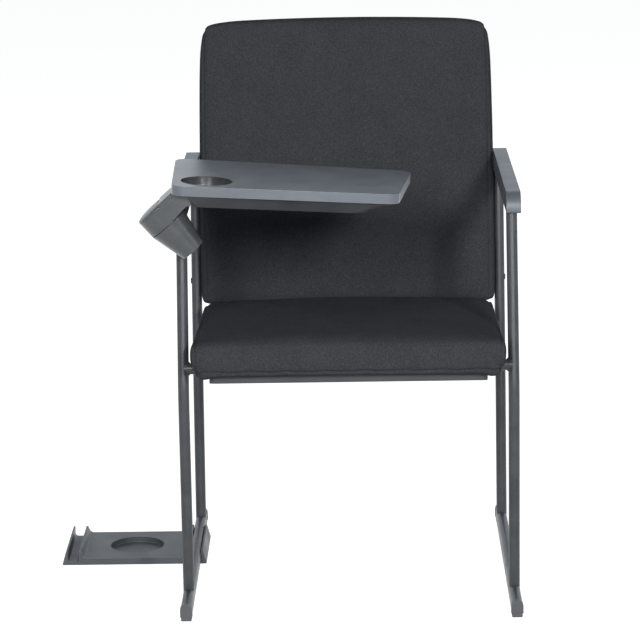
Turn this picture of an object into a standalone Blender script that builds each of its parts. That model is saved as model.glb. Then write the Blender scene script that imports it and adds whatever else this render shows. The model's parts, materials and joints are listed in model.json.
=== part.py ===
"""Sled-base visitor chair with a swivelling writing tablet and a floor linking plate.

Lengths are in metres. The chair faces -Y, +Z is up, the floor is at zero height, and left and
right are as seen from the front. Sizes are set in chair coordinates, whose X is zero half way
between the side frames and whose Y is zero at the front of the runners. One empty carries the
whole chair and moves it so that the origin lies under the middle of its outer box.
"""
import math

import bmesh
import bpy
from mathutils import Matrix, Vector

# Fits
GAP = 0.0003
TUBE_SIDES = 16
SCREW_SIDES = 12
SCREW_CROWN = 0.35
DISC_SIDES = 40
ARCH_STEPS = 11
CROWN_AT_ENDS = 0.35

# Side frames
TRACK = 0.530
TUBE_DIAMETER = 0.018
TUBE_WALL = 0.0015
TUBE_BEND_RADIUS = 0.250
FRONT_FOOT_Y = 0.091
FRONT_BEND_HEIGHT = 0.348
FRONT_LEAN = math.radians(14.1)
REAR_FOOT_SETBACK = 0.046
REAR_BEND_HEIGHT = 0.248
REAR_LOWER_LEAN = math.radians(6.4)
REAR_UPPER_LEAN = math.radians(10.7)
FRONT_BAR_HEIGHT = 0.392
REAR_BAR_HEIGHT = 0.357

# Runners, their end caps and glides
RUNNER_LENGTH = 0.540
RUNNER_WIDTH = 0.018
RUNNER_HEIGHT = 0.0215
RUNNER_WALL = 0.0015
RUNNER_LIFT = 0.0065
CAP_LENGTH = 0.012
CAP_PROUD = 0.0008
CAP_PLUG_LENGTH = 0.018
CAP_ROUND = 0.0012
GLIDE_LENGTH = 0.026
GLIDE_WIDTH = 0.017
GLIDE_ROUND = 0.0015

# Armrests
ARM_UNDERSIDE = 0.629
ARM_SLOPE = math.radians(0.7)
ARM_WIDTH = 0.0235
ARM_HEIGHT = 0.033
ARM_OUTWARD = 0.003
ARM_NOSE_AHEAD = 0.015
ARM_TAIL_BEHIND = 0.014
ARM_NOSE_RADIUS = 0.026
ARM_CORNER_RADIUS = 0.004
ARM_EDGE_ROUND = 0.0025
ARM_BAR_WIDTH = 0.016
ARM_BAR_THICKNESS = 0.005
ARM_BAR_INSET = 0.004
ARM_SCREW_FROM_UPRIGHT = 0.110
ARM_SCREW_RADIUS = 0.002
ARM_SCREW_LENGTH = 0.017
ARM_SCREW_HEAD_RADIUS = 0.004
ARM_SCREW_HEAD_HEIGHT = 0.0022

# Seat
RAIL_WIDTH = 0.025
RAIL_THICKNESS = 0.005
RAIL_INSET = 0.076
RAIL_OVERHANG = 0.012
PAN_THICKNESS = 0.004
PAN_INSET = 0.0015
PAN_LIP_RADIUS = 0.023
PAN_LIP_DROP = 0.013
PAN_LIP_STEPS = 8
PAN_REAR_SETBACK = 0.006
BOARD_THICKNESS = 0.012
SEAT_BOARD_FRONT = 0.0445
SEAT_BOARD_SETBACK = 0.06975
SEAT_BOARD_CORNER = 0.012
SEAT_SIDE_GAP = 0.004
SEAT_SIDE_RIM = 0.026
SEAT_FRONT_RIM = 0.0225
SEAT_REAR_RIM = 0.026
SEAT_RIM_DROP = 0.0143
SEAT_EDGE_HEIGHT = 0.041
SEAT_CROWN = 0.016
SEAT_CROWN_AT_FRONT = 0.1
SEAT_CROWN_AT_REAR = 0.65
SEAT_DRAW_IN = 0.002
SEAT_TUCK = 0.018
SEAT_CORNER_DROP = 0.003
SEAT_SIDE_ROUND = 0.010
SEAT_ROUND = 0.024
SEAT_FRONT_ROUND = 0.032
SEAT_WELT = 0.009
SEAT_SCREW_FRONT = 0.050
SEAT_SCREW_SETBACK = 0.052
SEAT_SCREW_RADIUS = 0.0025
SEAT_SCREW_HEAD_RADIUS = 0.005
SEAT_SCREW_HEAD_HEIGHT = 0.003
SEAT_SCREW_BITE = 0.008

# Back
BACK_BOTTOM = 0.152
BACK_TOP = 0.642
BACK_SIDE_GAP = 0.0005
BACK_FRONT = 0.032
BACK_CROWN = 0.010
BACK_DRAW_IN = 0.0003
BACK_TOP_RISE = 0.0055
BACK_TOP_NARROWING = 0.003
BACK_TOP_CORNER_CUT = 0.0090
BACK_BOTTOM_CORNER_DROP = 0.004
BACK_RIM = 0.018
BACK_ROUND = 0.026
BACK_BOTTOM_ROUND = 0.012
BACK_TOP_ROUND = 0.030
BACK_FACE_ROUND = 0.018
BACK_BOARD_THICKNESS = 0.010
BACK_BOARD_CORNER = 0.025
BACK_SHELL_THICKNESS = 0.003
BACK_SHELL_INSET = 0.006
BACK_SHELL_CORNER = 0.030
BACK_SHELL_BULGE = 0.010
BACK_SHELL_STEPS = (0.82, 0.5)
BACK_BOLT_LOW = 0.192
BACK_BOLT_BELOW_ARM = 0.02974
BACK_BOLT_RADIUS = 0.003
BACK_BOLT_BITE = 0.030
BACK_BOLT_HEAD_RADIUS = 0.0048
BACK_BOLT_HEAD_HEIGHT = 0.0024
BACK_BOLT_DIMPLE_RADIUS = 0.0068
BACK_BOLT_DIMPLE_DEPTH = 0.0012

# Writing tablet
TABLET_OUTSIDE = 0.015
TABLET_ABOVE_ARM = 0.0715
TABLET_DROOP = math.radians(3.06)
TABLET_THICKNESS = 0.016
TABLET_FRONT_LENGTH = 0.357
TABLET_BACK_LENGTH = 0.388
TABLET_LEFT_SKEW = 0.007
TABLET_LEFT_DEPTH = 0.248
TABLET_RIGHT_DEPTH = 0.212
TABLET_CORNER = 0.020
TABLET_EDGE_ROUND = 0.0022
CUP_X = 0.060
CUP_Y = 0.054
CUP_RADIUS = 0.041
CUP_FLOOR = 0.0025
UNDERTRAY_DEPTH = 0.022
UNDERTRAY_WALL = 0.0025
UNDERTRAY_LEFT = 0.030
UNDERTRAY_TOP_INSET = 0.005
UNDERTRAY_FRONT_SLOPE = 0.026
UNDERTRAY_TIP_SLOPE = 0.050
UNDERTRAY_ROOT_SLOPE = 0.012
UNDERTRAY_CORNER = 0.018
UNDERTRAY_ROOT_CORNER = 0.005
UNDERTRAY_SPARE = 0.15

# Tablet hinge
HINGE_OUTSIDE = 0.0039
HINGE_FROM_TABLET_FRONT = 0.058
HINGE_BELOW_TABLET = 0.0704
HINGE_AHEAD = 0.05386
HINGE_DIP = math.radians(48.5)
HEAD_RADIUS = 0.0334
HEAD_THICKNESS = 0.029
HEAD_STRIP_THICKNESS = 0.006
HEAD_STRIP_START = 0.0128
HEAD_STRIP_SETBACK = 0.0004
HEAD_STRIP_BURIED = 0.003
HEAD_ARM_ROOT = 0.015
HEAD_ARM_RIGHT = 0.037
HEAD_ARM_ELBOW = 0.014
HEAD_ARM_DEPTH = 0.019
FLANGE_THICKNESS = 0.004
FLANGE_REACH = 0.150
FLANGE_SETBACK = 0.008
FLANGE_SCREW_FIRST = 0.118
FLANGE_SCREW_PITCH = 0.020
FLANGE_SCREW_SPREAD = 0.038
FLANGE_SCREW_RADIUS = 0.002
FLANGE_SCREW_HEAD_RADIUS = 0.004
FLANGE_SCREW_HEAD_HEIGHT = 0.0025
FLANGE_SCREW_BITE = 0.010
DOME_HEIGHT = 0.007
DOME_RIM = 0.0016
DOME_STEPS = 6
WASHER_THICKNESS = 0.0012
WASHER_RADIUS = 0.0315
SOCKET_LENGTH = 0.058
SOCKET_END_RADIUS = 0.0208
SOCKET_WEB = 0.016
NUT_POCKET_RADIUS = 0.0125
PLUG_THICKNESS = 0.003
PIVOT_RADIUS = 0.005
PIVOT_HEAD_RADIUS = 0.009
PIVOT_HEAD_HEIGHT = 0.006
PIVOT_HEAD_POCKET = 0.0085
PIVOT_SPARE = 0.002
SPRING_RADIUS = 0.0105
SPRING_THICKNESS = 0.0016
SPRING_RISE = 0.0012
NUT_RADIUS = 0.0095
NUT_HEIGHT = 0.008
CLAMP_BELOW_HINGE = 0.0241
CLAMP_WIDTH = 0.036
CLAMP_HEIGHT = 0.026
CLAMP_DEPTH = 0.0155
CLAMP_SPLIT = 0.0008
CLAMP_BOSS_REACH = 0.036
CLAMP_SCREW_SPREAD = 0.0276
CLAMP_SCREW_RADIUS = 0.002
CLAMP_SCREW_HEAD_RADIUS = 0.0036
CLAMP_SCREW_HEAD_HEIGHT = 0.003
CLAMP_SCREW_BITE = 0.012

# Floor linking plate
LINK_PITCH = 0.208
LINK_END = 0.0185
LINK_FRONT_Y = 0.300
LINK_DEPTH = 0.150
LINK_THICKNESS = 0.012
LINK_CLEARANCE = 0.0006
LINK_LIP_HEIGHT = 0.0235
LINK_LIP_TOP = 0.003
LINK_LIP_FOOT = 0.0085
LINK_END_EDGE = 0.003
LINK_NOTCH_FROM_FRONT = 0.018
LINK_NOTCH_WIDTH = 0.004
LINK_DISH_RADIUS = 0.046
LINK_DISH_FLOOR = 0.0025

# Worked out from the sizes above
TUBE_RADIUS = TUBE_DIAMETER / 2
RUNNER_TOP = RUNNER_LIFT + RUNNER_HEIGHT
REAR_FOOT_Y = RUNNER_LENGTH - REAR_FOOT_SETBACK
BETWEEN_TUBES = TRACK - TUBE_DIAMETER
SEAT_WIDTH = BETWEEN_TUBES - 2 * SEAT_SIDE_GAP
SEAT_BOARD_WIDTH = SEAT_WIDTH - 2 * SEAT_SIDE_RIM
PAN_WIDTH = SEAT_BOARD_WIDTH - 2 * PAN_INSET
RAIL_SPACING = SEAT_BOARD_WIDTH - 2 * RAIL_INSET
BACK_WIDTH = BETWEEN_TUBES - 2 * BACK_SIDE_GAP
BACK_BOLT_HIGH = (ARM_UNDERSIDE - REAR_BEND_HEIGHT) / math.cos(REAR_UPPER_LEAN) - BACK_BOLT_BELOW_ARM
TABLET_LEFT_X = -TRACK / 2 - TABLET_OUTSIDE
TABLET_HEIGHT = ARM_UNDERSIDE + TABLET_ABOVE_ARM
HINGE_X = TABLET_LEFT_X - HINGE_OUTSIDE
HINGE_HEIGHT = TABLET_HEIGHT - HINGE_BELOW_TABLET
CLAMP_CENTRE_HEIGHT = HINGE_HEIGHT - CLAMP_BELOW_HINGE
SIDES = (("left", -1), ("right", 1))

FINISHES = {
    "graphite_paint": ((0.070, 0.072, 0.077), 0.42, 0.35),
    "grey_plastic": ((0.115, 0.120, 0.133), 0.45, 0.0),
    "black_plastic": ((0.028, 0.028, 0.030), 0.50, 0.0),
    "black_fabric": ((0.020, 0.020, 0.022), 0.95, 0.0),
    "plywood": ((0.480, 0.330, 0.190), 0.65, 0.0),
    "zinc_steel": ((0.560, 0.560, 0.550), 0.35, 1.0),
    "nylon": ((0.700, 0.690, 0.650), 0.55, 0.0),
}


def clear_scene():
    for item in list(bpy.data.objects):
        bpy.data.objects.remove(item, do_unlink=True)


def new_collection(name):
    collection = bpy.data.collections.new(name)
    bpy.context.scene.collection.children.link(collection)
    return collection


def new_empty(name, parent, location=(0, 0, 0), rotation=(0, 0, 0)):
    """An empty that carries pieces: location and Euler rotation under its parent."""
    empty = bpy.data.objects.new(name, None)
    PARTS.objects.link(empty)
    empty.parent = parent
    empty.location = location
    empty.rotation_euler = rotation
    return empty


def finish_material(name, finish):
    colour, roughness, metallic = FINISHES[finish]
    material = bpy.data.materials.new(name + "_finish")
    material.use_nodes = True
    shader = material.node_tree.nodes["Principled BSDF"]
    shader.inputs["Base Color"].default_value = (*colour, 1.0)
    shader.inputs["Roughness"].default_value = roughness
    shader.inputs["Metallic"].default_value = metallic
    return material


def part(name, mesh, finish, parent, location=(0, 0, 0), rotation=(0, 0, 0)):
    """A named piece of the chair under its parent empty."""
    piece = bpy.data.objects.new(name, mesh)
    PARTS.objects.link(piece)
    piece.data.materials.append(finish_material(name, finish))
    piece.parent = parent
    piece.location = location
    piece.rotation_euler = rotation
    return piece


def tool(name, mesh, parent, location=(0, 0, 0), rotation=(0, 0, 0)):
    """A shape that only cuts or joins other pieces."""
    piece = bpy.data.objects.new(name, mesh)
    TOOLS.objects.link(piece)
    piece.parent = parent
    piece.location = location
    piece.rotation_euler = rotation
    piece.hide_render = True
    piece.display_type = "WIRE"
    return piece


def boolean(piece, other, operation):
    modifier = piece.modifiers.new(operation.lower(), "BOOLEAN")
    modifier.object = other
    modifier.operation = operation


def cut(piece, *cutters):
    for cutter in cutters:
        boolean(piece, cutter, "DIFFERENCE")


def fuse(piece, *others):
    for other in others:
        boolean(piece, other, "UNION")


def round_edges(piece, width, segments=2):
    modifier = piece.modifiers.new("rounded_edges", "BEVEL")
    modifier.width = width
    modifier.segments = segments
    modifier.limit_method = "ANGLE"
    modifier.angle_limit = math.radians(40)


def smooth(mesh, angle=40):
    mesh.shade_smooth()
    mesh.set_sharp_from_angle(angle=math.radians(angle))
    return mesh


def to_mesh(bm, name):
    mesh = bpy.data.meshes.new(name)
    bmesh.ops.recalc_face_normals(bm, faces=bm.faces)
    bm.to_mesh(mesh)
    bm.free()
    return mesh


def box_mesh(name, low, high):
    """A box between two corners."""
    bm = bmesh.new()
    bmesh.ops.create_cube(bm, size=1.0)
    low, high = Vector(low), Vector(high)
    bmesh.ops.scale(bm, vec=high - low, verts=bm.verts)
    bmesh.ops.translate(bm, vec=(low + high) / 2, verts=bm.verts)
    return to_mesh(bm, name)


def cylinder_mesh(name, radius, low, high, sides=TUBE_SIDES, axis="Z", top_radius=None):
    """A cylinder or cone along an axis, from low to high on it."""
    bm = bmesh.new()
    end_radius = radius if top_radius is None else top_radius
    bmesh.ops.create_cone(bm, cap_ends=True, segments=sides, radius1=radius, radius2=end_radius,
                          depth=high - low)
    bmesh.ops.rotate(bm, matrix=Matrix.Rotation(math.pi / sides / 2, 3, "Z"), verts=bm.verts)
    bmesh.ops.translate(bm, vec=(0, 0, (low + high) / 2), verts=bm.verts)
    turns = {"X": Matrix.Rotation(math.pi / 2, 3, "Y"), "Y": Matrix.Rotation(-math.pi / 2, 3, "X")}
    if axis in turns:
        bmesh.ops.rotate(bm, matrix=turns[axis], verts=bm.verts)
    return smooth(to_mesh(bm, name))


def turned_mesh(name, profile, sides=SCREW_SIDES, closed=False):
    """A turned shape from (radius, height) points that run down its outer side."""
    bm = bmesh.new()
    points = [bm.verts.new((radius, 0, height)) for radius, height in profile]
    for first, second in zip(points, points[1:]):
        bm.edges.new((first, second))
    if closed:
        bm.edges.new((points[-1], points[0]))
    mesh = bpy.data.meshes.new(name + "_profile")
    bm.to_mesh(mesh)
    bm.free()
    holder = bpy.data.objects.new(name + "_profile", mesh)
    TOOLS.objects.link(holder)
    screw = holder.modifiers.new("turn", "SCREW")
    screw.steps = sides
    screw.render_steps = sides
    screw.use_merge_vertices = True
    screw.merge_threshold = 0.00001
    return smooth(settle(holder, name))


def settle(holder, name):
    """The evaluated mesh of a curve or profile, with its loose caps welded."""
    shape = holder.evaluated_get(bpy.context.evaluated_depsgraph_get())
    mesh = bpy.data.meshes.new_from_object(shape)
    mesh.name = name
    bpy.data.objects.remove(holder, do_unlink=True)
    bm = bmesh.new()
    bm.from_mesh(mesh)
    bmesh.ops.remove_doubles(bm, verts=bm.verts, dist=0.00001)
    bm.to_mesh(mesh)
    bm.free()
    return mesh


def tube_mesh(name, path, radius):
    """A round bar along a path."""
    curve = bpy.data.curves.new(name, "CURVE")
    curve.dimensions = "3D"
    curve.bevel_depth = radius
    curve.bevel_resolution = (TUBE_SIDES - 4) // 2
    curve.use_fill_caps = True
    spline = curve.splines.new("POLY")
    spline.points.add(len(path) - 1)
    for point, place in zip(spline.points, path):
        point.co = (*place, 1.0)
    holder = bpy.data.objects.new(name, curve)
    TOOLS.objects.link(holder)
    return smooth(settle(holder, name))


def slab_mesh(name, outlines, low, high):
    """A flat outline, with any holes in it, between two heights."""
    curve = bpy.data.curves.new(name, "CURVE")
    curve.dimensions = "2D"
    curve.fill_mode = "BOTH"
    curve.extrude = (high - low) / 2
    for outline in outlines:
        spline = curve.splines.new("POLY")
        spline.points.add(len(outline) - 1)
        for point, (x, y) in zip(spline.points, outline):
            point.co = (x, y, 0, 1.0)
        spline.use_cyclic_u = True
    holder = bpy.data.objects.new(name, curve)
    TOOLS.objects.link(holder)
    mesh = settle(holder, name)
    mesh.transform(Matrix.Translation((0, 0, (low + high) / 2)))
    return smooth(mesh)


def rounded_corner(before, corner, after, radius, steps):
    """Points of the arc that rounds a corner between two straight runs."""
    corner = Vector(corner)
    to_before = (Vector(before) - corner).normalized()
    to_after = (Vector(after) - corner).normalized()
    half = to_before.angle(to_after) / 2
    centre = corner + (to_before + to_after).normalized() * (radius / math.sin(half))
    start = corner + to_before * (radius / math.tan(half)) - centre
    end = corner + to_after * (radius / math.tan(half)) - centre
    turn = start.angle(end)
    arc = []
    for step in range(steps + 1):
        share = step / steps
        direction = (start * math.sin((1 - share) * turn) + end * math.sin(share * turn)) / math.sin(turn)
        arc.append(centre + direction)
    return arc


def rounded_outline(corners, steps=6):
    """A closed outline from (x, y, corner radius) points."""
    outline = []
    for index, (x, y, radius) in enumerate(corners):
        before = corners[index - 1][:2]
        after = corners[(index + 1) % len(corners)][:2]
        if radius:
            outline.extend(rounded_corner(before, (x, y), after, radius, steps))
        else:
            outline.append(Vector((x, y)))
    return [tuple(point) for point in outline]


def rounded_rectangle(low, high, radius, steps=6):
    corners = [(low[0], low[1]), (high[0], low[1]), (high[0], high[1]), (low[0], high[1])]
    return rounded_outline([(x, y, radius) for x, y in corners], steps)


def cushion_mesh(name, loops, shape):
    """A cage for a padded piece: a box with edge loops at the given places, moved by shape()."""
    low = Vector([places[0] for places in loops])
    high = Vector([places[-1] for places in loops])
    bm = bmesh.new()
    bmesh.ops.create_cube(bm, size=1.0)
    bmesh.ops.scale(bm, vec=high - low, verts=bm.verts)
    bmesh.ops.translate(bm, vec=(low + high) / 2, verts=bm.verts)
    for axis, places in enumerate(loops):
        normal = Vector([1.0 if index == axis else 0.0 for index in range(3)])
        for place in places[1:-1]:
            geometry = bm.verts[:] + bm.edges[:] + bm.faces[:]
            bmesh.ops.bisect_plane(bm, geom=geometry, plane_co=normal * place, plane_no=normal, dist=0.000001)
    for vertex in bm.verts:
        vertex.co = shape(vertex.co.copy())
    mesh = to_mesh(bm, name)
    mesh.shade_smooth()
    return mesh


def soften(piece):
    modifier = piece.modifiers.new("soft_form", "SUBSURF")
    modifier.levels = 2
    modifier.render_levels = 2


def headed_screw(name, radius, length, head_radius, head_height):
    """A screw that points up from its head, whose seat is at zero height."""
    crown = head_height * SCREW_CROWN
    profile = [
        (0, length),
        (radius / 2, length),
        (radius, length - radius / 2),
        (radius, 0),
        (head_radius, 0),
        (head_radius, crown - head_height),
        (head_radius - crown, -head_height),
        (0, -head_height),
    ]
    return turned_mesh(name, profile)


def front_axis_y(height):
    """Depth of the front uprights' centre line at a height."""
    return FRONT_FOOT_Y + max(0.0, height - FRONT_BEND_HEIGHT) * math.tan(FRONT_LEAN)


def rear_axis_y(height):
    """Depth of the rear uprights' centre line at a height."""
    lower = min(height, REAR_BEND_HEIGHT) * math.tan(REAR_LOWER_LEAN)
    upper = max(0.0, height - REAR_BEND_HEIGHT) * math.tan(REAR_UPPER_LEAN)
    return REAR_FOOT_Y + lower + upper


def upright_path(axis_y, bend_height, low, high):
    """Centre line of an upright in its own X = 0 plane, with its bend as an arc."""
    foot, bend, top = [(axis_y(height), height) for height in (low, bend_height, high)]
    arc = rounded_corner(foot, bend, top, TUBE_BEND_RADIUS, 4)
    return [(0, y, z) for y, z in [foot, *arc, top]]


def runner_outline(half_width, height, base):
    """Arch-topped section of a runner, standing on its base."""
    spring = base + height - half_width
    arch = [math.pi * step / ARCH_STEPS for step in range(ARCH_STEPS + 1)]
    outline = [(-half_width, base), (half_width, base)]
    outline += [(half_width * math.cos(turn), spring + half_width * math.sin(turn)) for turn in arch]
    return outline


def build_runner(side, x):
    """Runner tube along Y, with an end cap and a glide at each end."""
    half = RUNNER_WIDTH / 2
    outer = runner_outline(half, RUNNER_HEIGHT, 0)
    bore = runner_outline(half - RUNNER_WALL, RUNNER_HEIGHT - 2 * RUNNER_WALL, RUNNER_WALL)
    reach = RUNNER_LENGTH / 2 - CAP_LENGTH - GAP
    middle = (x, RUNNER_LENGTH / 2, RUNNER_LIFT)
    upright_turn = (math.pi / 2, 0, 0)
    part(side + "_runner", slab_mesh("runner", [outer, bore], -reach, reach), "graphite_paint", CHAIR,
         middle, upright_turn)
    flange = runner_outline(half + CAP_PROUD, RUNNER_HEIGHT + CAP_PROUD, 0)
    lining = RUNNER_WALL + GAP
    plug = runner_outline(half - lining, RUNNER_HEIGHT - 2 * lining, lining)
    for end, y, turn in (("front", 0, 0), ("rear", RUNNER_LENGTH, math.pi)):
        seat = (x, y, RUNNER_LIFT)
        rotation = (math.pi / 2, 0, turn)
        cap = part(f"{side}_{end}_cap", slab_mesh("cap", [flange], -CAP_LENGTH, 0), "black_plastic", CHAIR,
                   seat, rotation)
        round_edges(cap, CAP_ROUND, 1)
        plug_mesh = slab_mesh("cap_plug", [plug], -CAP_LENGTH - CAP_PLUG_LENGTH, CAP_ROUND * 2 - CAP_LENGTH)
        fuse(cap, tool(f"{side}_{end}_cap_plug", plug_mesh, CHAIR, seat, rotation))
        inward = 1 if end == "front" else -1
        near, far = sorted((y + inward * GAP, y + inward * GLIDE_LENGTH))
        low = (x - GLIDE_WIDTH / 2, near, 0)
        high = (x + GLIDE_WIDTH / 2, far, RUNNER_LIFT - GAP)
        glide = part(f"{side}_{end}_glide", box_mesh("glide", low, high), "black_plastic", CHAIR)
        round_edges(glide, GLIDE_ROUND)


def arm_span():
    """Distance along the arm line between the two uprights."""
    front_y = front_axis_y(ARM_UNDERSIDE)
    fall = math.tan(ARM_SLOPE)
    lean = math.tan(REAR_UPPER_LEAN)
    base_y = rear_axis_y(REAR_BEND_HEIGHT) - REAR_BEND_HEIGHT * lean
    rear_height = (ARM_UNDERSIDE - (base_y - front_y) * fall) / (1 + lean * fall)
    return (rear_axis_y(rear_height) - front_y) / math.cos(ARM_SLOPE)


def upright_tool(name, x, axis_y, bend_height, radius):
    """A solid bar along an upright, for cutting what meets it."""
    low = RUNNER_LIFT
    high = ARM_UNDERSIDE + ARM_HEIGHT
    return tool(name, tube_mesh(name, upright_path(axis_y, bend_height, low, high), radius), CHAIR, (x, 0, 0))


def build_uprights(side, x, arm):
    """Front and rear upright tubes, coped over the runner and cut off under the arm bar."""
    half = RUNNER_WIDTH / 2
    cope = runner_outline(half + GAP, RUNNER_TOP + GAP, -RUNNER_LIFT)
    cope_mesh = slab_mesh("cope", [cope], 0, RUNNER_LENGTH)
    coping = tool(side + "_cope", cope_mesh, CHAIR, (x, RUNNER_LENGTH, RUNNER_LIFT), (math.pi / 2, 0, 0))
    above_bar = box_mesh("above_bar", (-TUBE_DIAMETER, -RUNNER_LENGTH, ARM_BAR_INSET - GAP),
                         (TUBE_DIAMETER, RUNNER_LENGTH, ARM_HEIGHT * 3))
    trim = tool(side + "_upright_trim", above_bar, arm)
    low = RUNNER_TOP - half - TUBE_WALL
    high = ARM_UNDERSIDE + ARM_HEIGHT
    for end, axis_y, bend_height in UPRIGHTS:
        name = f"{side}_{end}_upright"
        path = upright_path(axis_y, bend_height, low, high)
        upright = part(name, tube_mesh(name, path, TUBE_RADIUS), "graphite_paint", CHAIR, (x, 0, 0))
        bore = tube_mesh("bore", upright_path(axis_y, bend_height, low - TUBE_WALL, high + TUBE_WALL),
                         TUBE_RADIUS - TUBE_WALL)
        cut(upright, tool(name + "_bore", bore, CHAIR, (x, 0, 0)), coping, trim)


def build_armrest(side, arm, outward):
    """Plastic armrest over a flat steel bar that ties the two uprights."""
    span = arm_span()
    front, rear = -ARM_NOSE_AHEAD, span + ARM_TAIL_BEHIND
    profile = rounded_outline([
        (front, 0, ARM_CORNER_RADIUS),
        (rear, 0, ARM_CORNER_RADIUS),
        (rear, ARM_HEIGHT, ARM_CORNER_RADIUS),
        (front, ARM_HEIGHT, ARM_NOSE_RADIUS),
    ])
    offset = outward * ARM_OUTWARD
    side_on = (math.pi / 2, 0, math.pi / 2)
    shell = slab_mesh("armrest", [profile], -ARM_WIDTH / 2, ARM_WIDTH / 2)
    armrest = part(side + "_armrest", shell, "grey_plastic", arm, (offset, 0, 0), side_on)
    round_edges(armrest, ARM_EDGE_ROUND)
    bar_half = ARM_BAR_WIDTH / 2
    bar_top = ARM_BAR_INSET + ARM_BAR_THICKNESS
    bar_mesh = box_mesh("arm_bar", (-bar_half, -TUBE_RADIUS, ARM_BAR_INSET),
                        (bar_half, span + TUBE_RADIUS, bar_top))
    bar = part(side + "_arm_bar", bar_mesh, "graphite_paint", arm)
    groove = box_mesh("bar_groove", (-bar_half - GAP, -TUBE_RADIUS - GAP, -ARM_HEIGHT),
                      (bar_half + GAP, span + TUBE_RADIUS + GAP, bar_top + GAP))
    cut(armrest, tool(side + "_bar_groove", groove, arm))
    for end, axis_y, bend_height in UPRIGHTS:
        mouth = upright_tool(f"{side}_{end}_mouth", arm.location.x, axis_y, bend_height, TUBE_RADIUS + GAP)
        trim = box_mesh("mouth_trim", (-ARM_WIDTH, -RUNNER_LENGTH, bar_top), (ARM_WIDTH, RUNNER_LENGTH, 1))
        cut(mouth, tool(f"{side}_{end}_mouth_trim", trim, arm))
        cut(armrest, mouth)
    for end, y in (("front", ARM_SCREW_FROM_UPRIGHT), ("rear", span - ARM_SCREW_FROM_UPRIGHT)):
        seat = (0, y, ARM_BAR_INSET - GAP)
        name = f"{side}_{end}_arm_screw"
        screw = headed_screw(name, ARM_SCREW_RADIUS, ARM_SCREW_LENGTH, ARM_SCREW_HEAD_RADIUS,
                             ARM_SCREW_HEAD_HEIGHT)
        part(name, screw, "zinc_steel", arm, seat)
        hole = cylinder_mesh("arm_screw_hole", ARM_SCREW_RADIUS + GAP, -GAP, ARM_SCREW_LENGTH + GAP,
                             SCREW_SIDES)
        cutter = tool(name + "_hole", hole, arm, seat)
        cut(bar, cutter)
        cut(armrest, cutter)


def build_crossbar(name, axis_y, bend_height, height):
    """A hollow tube across the chair, coped to the two uprights that it joins."""
    place = (0, axis_y(height), height)
    tube = cylinder_mesh(name, TUBE_RADIUS, -TRACK / 2, TRACK / 2, axis="X")
    bar = part(name, tube, "graphite_paint", CHAIR, place)
    bore = cylinder_mesh("bar_bore", TUBE_RADIUS - TUBE_WALL, -TRACK, TRACK, axis="X")
    cut(bar, tool(name + "_bore", bore, CHAIR, place))
    for side, sign in SIDES:
        reach = TUBE_RADIUS + GAP
        cut(bar, upright_tool(f"{name}_{side}_cope", sign * TRACK / 2, axis_y, bend_height, reach))


def seat_placing():
    """Front bar's place, the slope of the seat and the distance between the bars."""
    front = Vector((front_axis_y(FRONT_BAR_HEIGHT), FRONT_BAR_HEIGHT))
    rear = Vector((rear_axis_y(REAR_BAR_HEIGHT), REAR_BAR_HEIGHT))
    run = rear - front
    slope = math.atan2(run.y, run.x)
    normal = Vector((-math.sin(slope), math.cos(slope)))
    seat = front + normal * (TUBE_RADIUS + GAP)
    return seat, slope, run.length


def build_seat():
    """Rails on the crossbars, then the pan, the board and the cushion that wraps the board."""
    place, slope, reach = seat_placing()
    seat = new_empty("seat_frame", CHAIR, (0, *place), (slope, 0, 0))
    pan_low = RAIL_THICKNESS + GAP
    board_low = pan_low + PAN_THICKNESS + GAP
    board_high = board_low + BOARD_THICKNESS
    rails = {}
    for side, sign in SIDES:
        x = sign * RAIL_SPACING / 2
        low = (x - RAIL_WIDTH / 2, -RAIL_OVERHANG, 0)
        high = (x + RAIL_WIDTH / 2, reach + RAIL_OVERHANG, RAIL_THICKNESS)
        rails[side] = part(side + "_seat_rail", box_mesh("rail", low, high), "graphite_paint", seat)
    board_rear = reach - SEAT_BOARD_SETBACK
    pan = build_seat_pan(seat, pan_low, board_rear)
    half = SEAT_BOARD_WIDTH / 2
    outline = rounded_rectangle((-half, -SEAT_BOARD_FRONT), (half, board_rear), SEAT_BOARD_CORNER)
    board = part("seat_board", slab_mesh("seat_board", [outline], board_low, board_high), "plywood", seat)
    length = board_low + SEAT_SCREW_BITE + GAP
    for side, sign in SIDES:
        for end, y in (("front", SEAT_SCREW_FRONT), ("rear", board_rear - SEAT_SCREW_SETBACK)):
            name = f"{side}_{end}_seat_screw"
            screw_seat = (sign * RAIL_SPACING / 2, y, -GAP)
            screw = headed_screw(name, SEAT_SCREW_RADIUS, length, SEAT_SCREW_HEAD_RADIUS,
                                 SEAT_SCREW_HEAD_HEIGHT)
            part(name, screw, "zinc_steel", seat, screw_seat)
            hole = cylinder_mesh("seat_screw_hole", SEAT_SCREW_RADIUS + GAP, -GAP, length + GAP, SCREW_SIDES)
            cutter = tool(name + "_hole", hole, seat, screw_seat)
            for piece in (rails[side], pan, board):
                cut(piece, cutter)
    build_seat_cushion(seat, board_high, board_rear, reach)


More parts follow.
